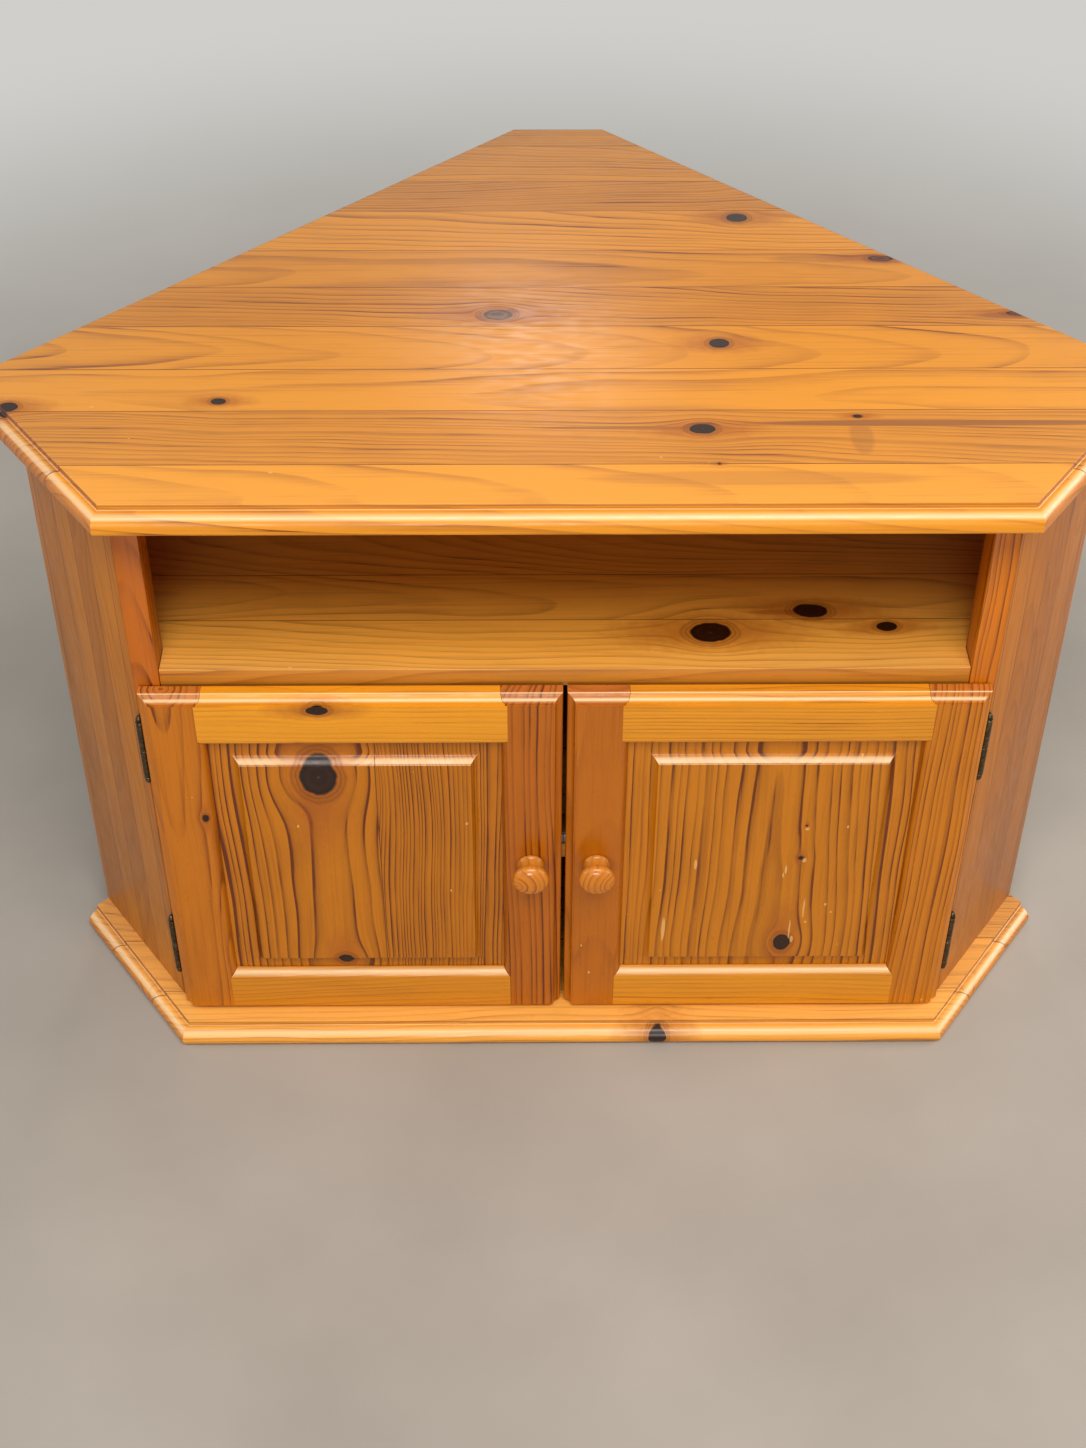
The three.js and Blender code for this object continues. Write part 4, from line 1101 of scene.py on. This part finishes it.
# %% [markdown]
# ## Turned knobs
#
# Each knob is turned between centres: a collar, a waist and a flattened round head. Half its outline is
# drawn as a chain of edges and spun once round the axis. The wood's grain runs along the axis of the lathe,
# so the round head shows the rings as curved bands.

# %% Turned knobs
KNOB_LENGTH, KNOB_RADIUS, KNOB_HEAD, KNOB_NECK = 26.4, 16.0, 14.2, 10.4
KNOB_COLLAR, COLLAR_LENGTH, COLLAR_SWELL = 11.9, 2.6, 0.8
WAIST_DROP, WAIST_RISE = 5.0, 1.6  # how far the waist's handles lie below the head and above the collar
knob_middle = centre("right_knob")
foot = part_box("right_knob")[1].y


def knob_outline():
    """Radius and distance from the foot, from the crown to the foot, in millimetres."""
    widest, under = KNOB_LENGTH - KNOB_HEAD * 0.5, KNOB_LENGTH - KNOB_HEAD
    return profile([(0, KNOB_LENGTH)],
                   (12, (KNOB_RADIUS * CROWN_SHARE, KNOB_LENGTH), (KNOB_RADIUS, widest + KNOB_HEAD * 0.3),
                    (KNOB_RADIUS, widest)),
                   (10, (KNOB_RADIUS, under + KNOB_HEAD * 0.18), (KNOB_RADIUS * 0.8, under),
                    (KNOB_NECK, under)),
                   (8, (KNOB_NECK * 0.96, under - WAIST_DROP), (KNOB_NECK, COLLAR_LENGTH + WAIST_RISE),
                    (KNOB_COLLAR, COLLAR_LENGTH)),
                   (5, (KNOB_COLLAR + COLLAR_SWELL, COLLAR_LENGTH * 0.5), (KNOB_COLLAR, 0)), (1, (0, 0)))


def spun(name, corners, middle, axis, steps):
    """A turned piece: half an outline spun once round an axis."""
    piece = outline(name, corners, closed=False)
    bpy.ops.mesh.select_all(action="SELECT")
    bpy.ops.mesh.spin(steps=steps, angle=2 * math.pi, center=middle, axis=axis, dupli=False)
    bpy.ops.mesh.select_all(action="SELECT")
    bpy.ops.mesh.remove_doubles(threshold=TINY / 2)
    bpy.ops.mesh.normals_make_consistent()
    object_mode()
    return piece


corners = [(knob_middle.x + p.x * MM, foot - p.y * MM, knob_middle.z) for p in knob_outline()]
right_knob = spun("right_knob_turned", corners, (knob_middle.x, foot, knob_middle.z), INWARD, 56)
left_knob = mirrored(right_knob, "left_knob_turned")
# Each knob gets only a trace of the painted highlight on its upward slopes.
for hand, side, pith, knob in (("right", 1, 18, right_knob), ("left", -1, -14, left_knob)):
    wood = pine(f"turned_pine_{hand}_knob", INWARD, LEVEL, (side * knob_middle.x, foot, knob_middle.z),
                [(-40, 0.12, pith, 6, 5.0)], "#dc8a22", "#7e3c08", seed=55.0 + side, gloss=0.16, chips=0.0,
                contrast=0.85, wander=0.25, end_tint="#d47c1c", painted_highlight=0.06)
    finish_piece(knob, hand + "_door", wood, "knob_pine", hand + "_knob")
print("knob", len(right_knob.data.polygons), "faces")

# %% [markdown]
# ## Metals and plastic
#
# The hinges and their screws are brass with an antique finish: dipped dark, then rubbed, so high spots show a
# warmer metal and hollows stay nearly black. The other screws, the strike plates and the magnets are
# zinc-plated steel, pale and a little cloudy. The catch is moulded in brown nylon with a fine spark texture.

# %% Metals and plastic
def mottled(name, scale, detail, raggedness, tints, rough, metallic, bump, ior=1.5):
    """A finish that varies from patch to patch in its colour, its gloss and, a little, its height."""
    material, add = new_material(name)
    here = add("TexCoord").node.outputs["Object"]
    patch = add("TexNoise", Vector=here, Scale=scale, Detail=detail, Roughness=raggedness)
    tint = fill_ramp(add("ValToRGB", patch), tints)
    gloss = add("MapRange", patch, 0.3, 0.7, *rough)
    relief = add("Bump", Height=patch, Strength=bump, Distance=0.05 * MM)
    add("OutputMaterial", add("BsdfPrincipled", Base_Color=tint, Roughness=gloss, Metallic=metallic, IOR=ior,
                              Normal=relief))
    return material


brass = mottled("antique_brass", 380.0, 4.0, 0.65, [(0.36, "#463c2e"), (0.55, "#5e503b"), (0.72, "#8c7650")],
                (0.46, 0.28), 1.0, 0.25)
steel = mottled("zinc_plated_steel", 140.0, 3.0, 0.5, [(0.3, "#a9a69c"), (0.6, "#c4c0b4"), (0.75, "#b9ad8c")],
                (0.26, 0.42), 1.0, 0.0)
plastic = mottled("moulded_brown_nylon", 1600.0, 2.0, 0.5, [(0.3, "#4a301b"), (0.7, "#5c3d24")],
                  (0.48, 0.48), 0.0, 0.3, ior=1.53)
print("finishes:", brass.name, steel.name, plastic.name)

# %% [markdown]
# ## Flush hinges
#
# On a flush hinge the smaller leaf closes into a cut-out of the larger one, so the door needs no recess.
# Each leaf is a pressed plate, and its edge is rolled round the pin as a knuckle. The pin has a small turned
# finial at each end, with a ring, a neck and a ball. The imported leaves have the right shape, so each is
# copied and its edges are eased. The knuckles and pins are modelled round on top of them, because a barrel
# this small is seen mostly by its highlight, and the screw heads are added.

# %% Hinges
KNUCKLE_RADIUS, KNUCKLE_LENGTH, HINGE_SPLIT = 3.4, 30.5, 0.15
FINIAL_GAP, FINIAL_COLLAR, FINIAL_NECK = 0.25, 1.2, 0.7
COLLAR_RADIUS, COLLAR_ARRIS, NECK_RADIUS, FINIAL_RADIUS, FINIAL_LENGTH = 3.5, 0.3, 2.2, 3.1, 5.6
ROD_SHARE = 0.45  # radius of the pin over that of its knuckles
LEAF_WIDTH, LEAF_RIM, LEAF_HOLE_INSET = 18.5, 4.0, 7.0
FRAME_SCREW_DEPTH, DOOR_SCREW_DEPTH = 1.4 * MM, 0.4 * MM
SCREW_RADIUS, SCREW_HEIGHT, RECESS_DEPTH = 1.7 * MM, 0.9 * MM, 0.5 * MM
PLATE_ARRIS, RIM_ARRIS, ROD_END, RIM_GAP = 0.12 * MM, 0.55 * MM, 0.2 * MM, 0.3 * MM


def finial_outline():
    """Radius and height above the middle of the hinge of the upper half of the pin, in millimetres."""
    start = KNUCKLE_LENGTH + HINGE_SPLIT + FINIAL_GAP
    shoulder = start + FINIAL_COLLAR
    ball = shoulder + FINIAL_NECK
    rim = COLLAR_RADIUS - COLLAR_ARRIS
    tip = ball + FINIAL_LENGTH
    return profile([(0, start), (rim, start), (COLLAR_RADIUS, start + COLLAR_ARRIS),
                    (COLLAR_RADIUS, shoulder - COLLAR_ARRIS), (rim, shoulder), (NECK_RADIUS, shoulder + 0.1),
                    (NECK_RADIUS, ball)],
                   (6, (FINIAL_RADIUS, ball), (FINIAL_RADIUS * 1.02, ball + FINIAL_LENGTH * 0.5),
                    (FINIAL_RADIUS * 0.66, ball + FINIAL_LENGTH * 0.8)),
                   (4, (FINIAL_RADIUS * 0.42, tip), (0, tip)))


def knuckle(name, x, y, low, high):
    """One rolled knuckle: a cylinder with softened rims."""
    piece = primitive("cylinder", name, vertices=28, radius=KNUCKLE_RADIUS * MM, depth=high - low,
                      location=(x, y, (low + high) / 2))
    ease(piece, RIM_ARRIS, segments=3, angle=60)
    return piece


def joined(name, *pieces):
    """Several pieces made one object."""
    hold(pieces[0])
    for piece in pieces[1:]:
        piece.select_set(True)
    bpy.ops.object.join()
    pieces[0].name = name
    return pieces[0]


def screw(name, x, z, y, out, body, material, slot):
    """A countersunk head with a cross recess, on its body. It looks along y, and out is -1 for the front."""
    head = primitive("cylinder", name, vertices=20, radius=SCREW_RADIUS, depth=SCREW_HEIGHT,
                     location=(x, y - out * SCREW_HEIGHT / 2, z), rotation=(math.pi / 2, 0, 0))
    long_arm, short_arm = SCREW_RADIUS * 0.62, SCREW_RADIUS * 0.2
    for wide, tall in ((long_arm, short_arm), (short_arm, long_arm)):
        take_away(head, block("recess", (x - wide, y - RECESS_DEPTH, z - tall),
                              (x + wide, y + RECESS_DEPTH, z + tall)))
    ease(head, PLATE_ARRIS, angle=50)
    finish_piece(head, body, material, slot)


half = (KNUCKLE_LENGTH + HINGE_SPLIT) * MM
hinge_screws = []
for name in ("right_upper_hinge", "right_lower_hinge", "left_upper_hinge", "left_lower_hinge"):
    hand = name.split("_")[0]
    side = 1 if hand == "right" else -1
    x, y, middle = centre(name + "_pin")
    rod = knuckle(name + "_rod", x, y, middle - half - ROD_END, middle + half + ROD_END)
    hold(rod)
    bpy.ops.transform.resize(value=(ROD_SHARE, ROD_SHARE, 1), center_override=(x, y, middle))
    bpy.ops.object.transform_apply()
    ends = [spun(name + "_finial", [(x + p.x * MM, y, middle + way * p.y * MM) for p in finial_outline()],
                 (x, y, middle), UPRIGHT, 28) for way in (1, -1)]
    finish_piece(joined(name + "_pin_turned", rod, *ends), "carcass", brass, "bronze", name + "_pin")
    for leaf, low, high, body in (("frame_leaf", middle - half, middle - HINGE_SPLIT * MM, "carcass"),
                                  ("door_leaf", middle + HINGE_SPLIT * MM, middle + half, hand + "_door")):
        plate = copied(f"{name}_{leaf}", f"{name}_{leaf}_plate")
        ease(plate, PLATE_ARRIS, segments=1)
        made = joined(f"{name}_{leaf}_pressed", plate, knuckle(name + "_barrel", x, y, low, high))
        finish_piece(made, body, brass, "bronze", f"{name}_{leaf}")

    inner = x - side * LEAF_WIDTH * MM
    frame_x = inner + side * LEAF_WIDTH / 2 * MM
    door_x = (inner + side * (LEAF_RIM * MM + RIM_GAP) + x - side * KNUCKLE_RADIUS * MM) / 2
    for z in (middle - half + LEAF_HOLE_INSET * MM, middle - LEAF_HOLE_INSET * MM):
        title = f"{name}_frame_screw_{round(z / MM)}"
        hinge_screws.append((title, frame_x, z, front - FRAME_SCREW_DEPTH, -1, "carcass"))
    for z in (middle + (HINGE_SPLIT + LEAF_HOLE_INSET) * MM,
              middle + half - (LEAF_RIM + LEAF_HOLE_INSET) * MM):
        title = f"{name}_door_screw_{round(z / MM)}"
        hinge_screws.append((title, door_x, z, front - DOOR_SCREW_DEPTH, 1, hand + "_door"))
for place in hinge_screws:
    screw(*place, brass, "bronze")
print("hinges done,", len(finished), "pieces so far")

# %% [markdown]
# ## Knob screws and magnetic catch
#
# Each knob is held by one screw from inside the door. A double magnetic catch sits on the cupboard shelf, and
# each door carries a small strike plate that the magnet pulls on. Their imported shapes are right, so they are
# copied. The catch and the plates get softened edges and the small fixing screws that the solids leave out,
# and every copy gets its real finish.

# %% Catch, strike plates and knob screws
STRIKE_SCREW_PROUD = 0.05 * MM
EAR_INSET, DOME_RADIUS, DOME_SEAT, DOME_FLATNESS = 4.5 * MM, 2.6 * MM, 3.0 * MM, 0.55
DOME_SLOT_LENGTH, DOME_SLOT_WIDTH, DOME_SLOT_FOOT = 4.0 * MM, 0.6 * MM, 0.6 * MM

dressed("catch_housing", "_moulded", 0.5 * MM, "carcass", plastic, "catch_plastic", angle=40)
catch_low, catch_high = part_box("catch_housing")
seat, catch_y = catch_low.z + DOME_SEAT, (catch_low.y + catch_high.y) / 2
for hand, side in (("right", 1), ("left", -1)):
    door = hand + "_door"
    dressed(hand + "_catch_magnet", "_plated", 0.3 * MM, "carcass", steel, "steel", angle=40)
    dressed(hand + "_strike_plate", "_pressed", 0.2 * MM, door, steel, "steel", angle=50)
    middle = centre(hand + "_strike_plate")
    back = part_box(hand + "_strike_plate")[1].y
    screw(hand + "_strike_screw", middle.x, middle.z, back + STRIKE_SCREW_PROUD, 1, door, steel, "steel")
    shank = copied(hand + "_knob_screw", hand + "_knob_screw_plated")
    finish_piece(shank, door, steel, "steel", hand + "_knob_screw", smooth=40)

    ear_x = side * (catch_high.x - EAR_INSET)
    dome = primitive("uv_sphere", hand + "_catch_screw", segments=20, ring_count=10, radius=DOME_RADIUS,
                     location=(ear_x, catch_y, seat))
    edit(dome)
    bpy.ops.mesh.select_all(action="SELECT")
    bpy.ops.mesh.bisect(plane_co=(0, 0, seat), plane_no=UPRIGHT, clear_inner=True, use_fill=True)
    bpy.ops.mesh.select_all(action="SELECT")
    bpy.ops.transform.resize(value=(1, 1, DOME_FLATNESS), center_override=(ear_x, catch_low.y, seat))
    object_mode()
    long_way, wide_way = DOME_SLOT_LENGTH / 2, DOME_SLOT_WIDTH / 2
    take_away(dome, block("slot", (ear_x - long_way, catch_y - wide_way, seat + DOME_SLOT_FOOT),
                          (ear_x + long_way, catch_y + wide_way, seat + DOME_RADIUS)))
    finish_piece(dome, "carcass", steel, "steel")
print("small parts done,", len(finished), "pieces in all")

# %% [markdown]
# ## Floor and light
#
# The lamps are large and soft, at a level where a colour renders about as it is written. A broad key lamp
# hangs above in front, and a softbox stands low in front for the doors. A lamp behind stands where the top
# reflects it towards the camera, which gives lacquer the long sheen that tells the eye it is glossy. Two more
# light the sides, and a dim pale world fills the rest. The floor is plain and fades with distance into the
# pale backdrop, for the camera and in reflections only, so that the haze lights nothing.

# %% Floor and light
BACKDROP = "#d0cfcb"
FLOOR_RADIUS = 9
HAZE_START, HAZE_END = 0.8, 2.1  # metres from the cabinet between which the floor fades into the backdrop


def seen_directly(add):
    """One where a ray comes from the camera, or by a reflection or a clear pane."""
    rays = add("LightPath").node.outputs
    straight = add("Math MAXIMUM", rays["Is Camera Ray"], rays["Is Glossy Ray"])
    return add("Math MAXIMUM", straight, rays["Is Transmission Ray"])


floor = primitive("circle", "floor", vertices=96, radius=FLOOR_RADIUS, fill_type="NGON", location=(0, 0, 0))
floor_paint, add = new_material("pale_floor")
here = add("TexCoord").node.outputs["Object"]
cloud = add("TexNoise", Vector=here, Scale=3.0, Detail=5.0)
tint = fill_ramp(add("ValToRGB", cloud), [(0.3, "#a49f98"), (0.7, "#b5b0a9")])
away = add("VectorMath LENGTH", here)
far = add("MapRange", away, HAZE_START, HAZE_END, 0.0, 1.0, interpolation_type="SMOOTHSTEP")
faded = add("Math MULTIPLY", far, seen_directly(add))
haze = add("Emission", Color=BACKDROP, Strength=1.0)
add("OutputMaterial", add("MixShader", faded, add("BsdfPrincipled", Base_Color=tint, Roughness=0.8), haze))
floor.data.materials.append(floor_paint)

world = bpy.data.worlds.new("studio")
bpy.context.scene.world = world
world.use_nodes = True
add = partial(add_node, world.node_tree)
background = world.node_tree.nodes["Background"]
straight = seen_directly(add)
feed(background.inputs["Color"], add("Mix", straight, "#f2f1ee", BACKDROP, data_type="RGBA"))
feed(background.inputs["Strength"], add("MapRange", straight, 0.0, 1.0, 0.18, 1.0))
bpy.context.scene.view_settings.view_transform = "Standard"


def lamp(name, place, towards, size, power, tint):
    """A soft oval lamp that looks at a point."""
    data = bpy.data.lights.new(name, "AREA")
    data.shape = "ELLIPSE"
    data.size, data.size_y = size
    data.energy = power
    data.color = linear(tint)[:3]
    light = bpy.data.objects.new(name, data)
    bpy.context.scene.collection.objects.link(light)
    light.location = place
    light.rotation_euler = (Vector(towards) - Vector(place)).to_track_quat("-Z", "Y").to_euler()


lamp("key_lamp", (0.15, -1.7, 2.8), (0, 0, 0.4), (2.3, 1.2), 64, "#fff8ee")
lamp("front_softbox", (-0.25, -3.9, 1.0), (0, 0, 0.35), (1.7, 0.8), 43, "#fff9f2")
lamp("sheen_lamp", (-0.06, 1.78, 2.12), (0, -0.15, 0.62), (0.42, 0.85), 6, "#fff8ee")
lamp("right_lamp", (2.6, 0.1, 1.3), (0, 0, 0.4), (1.2, 1.6), 34, "#fff8f0")
lamp("left_lamp", (-2.6, -0.1, 1.5), (0, 0, 0.4), (1.2, 1.6), 13, "#f6f8ff")
print("lights placed")

# %% [markdown]
# ## Leaving edit mode
#
# Blender is left in object mode, with nothing selected.

# %% Leave edit mode
object_mode()
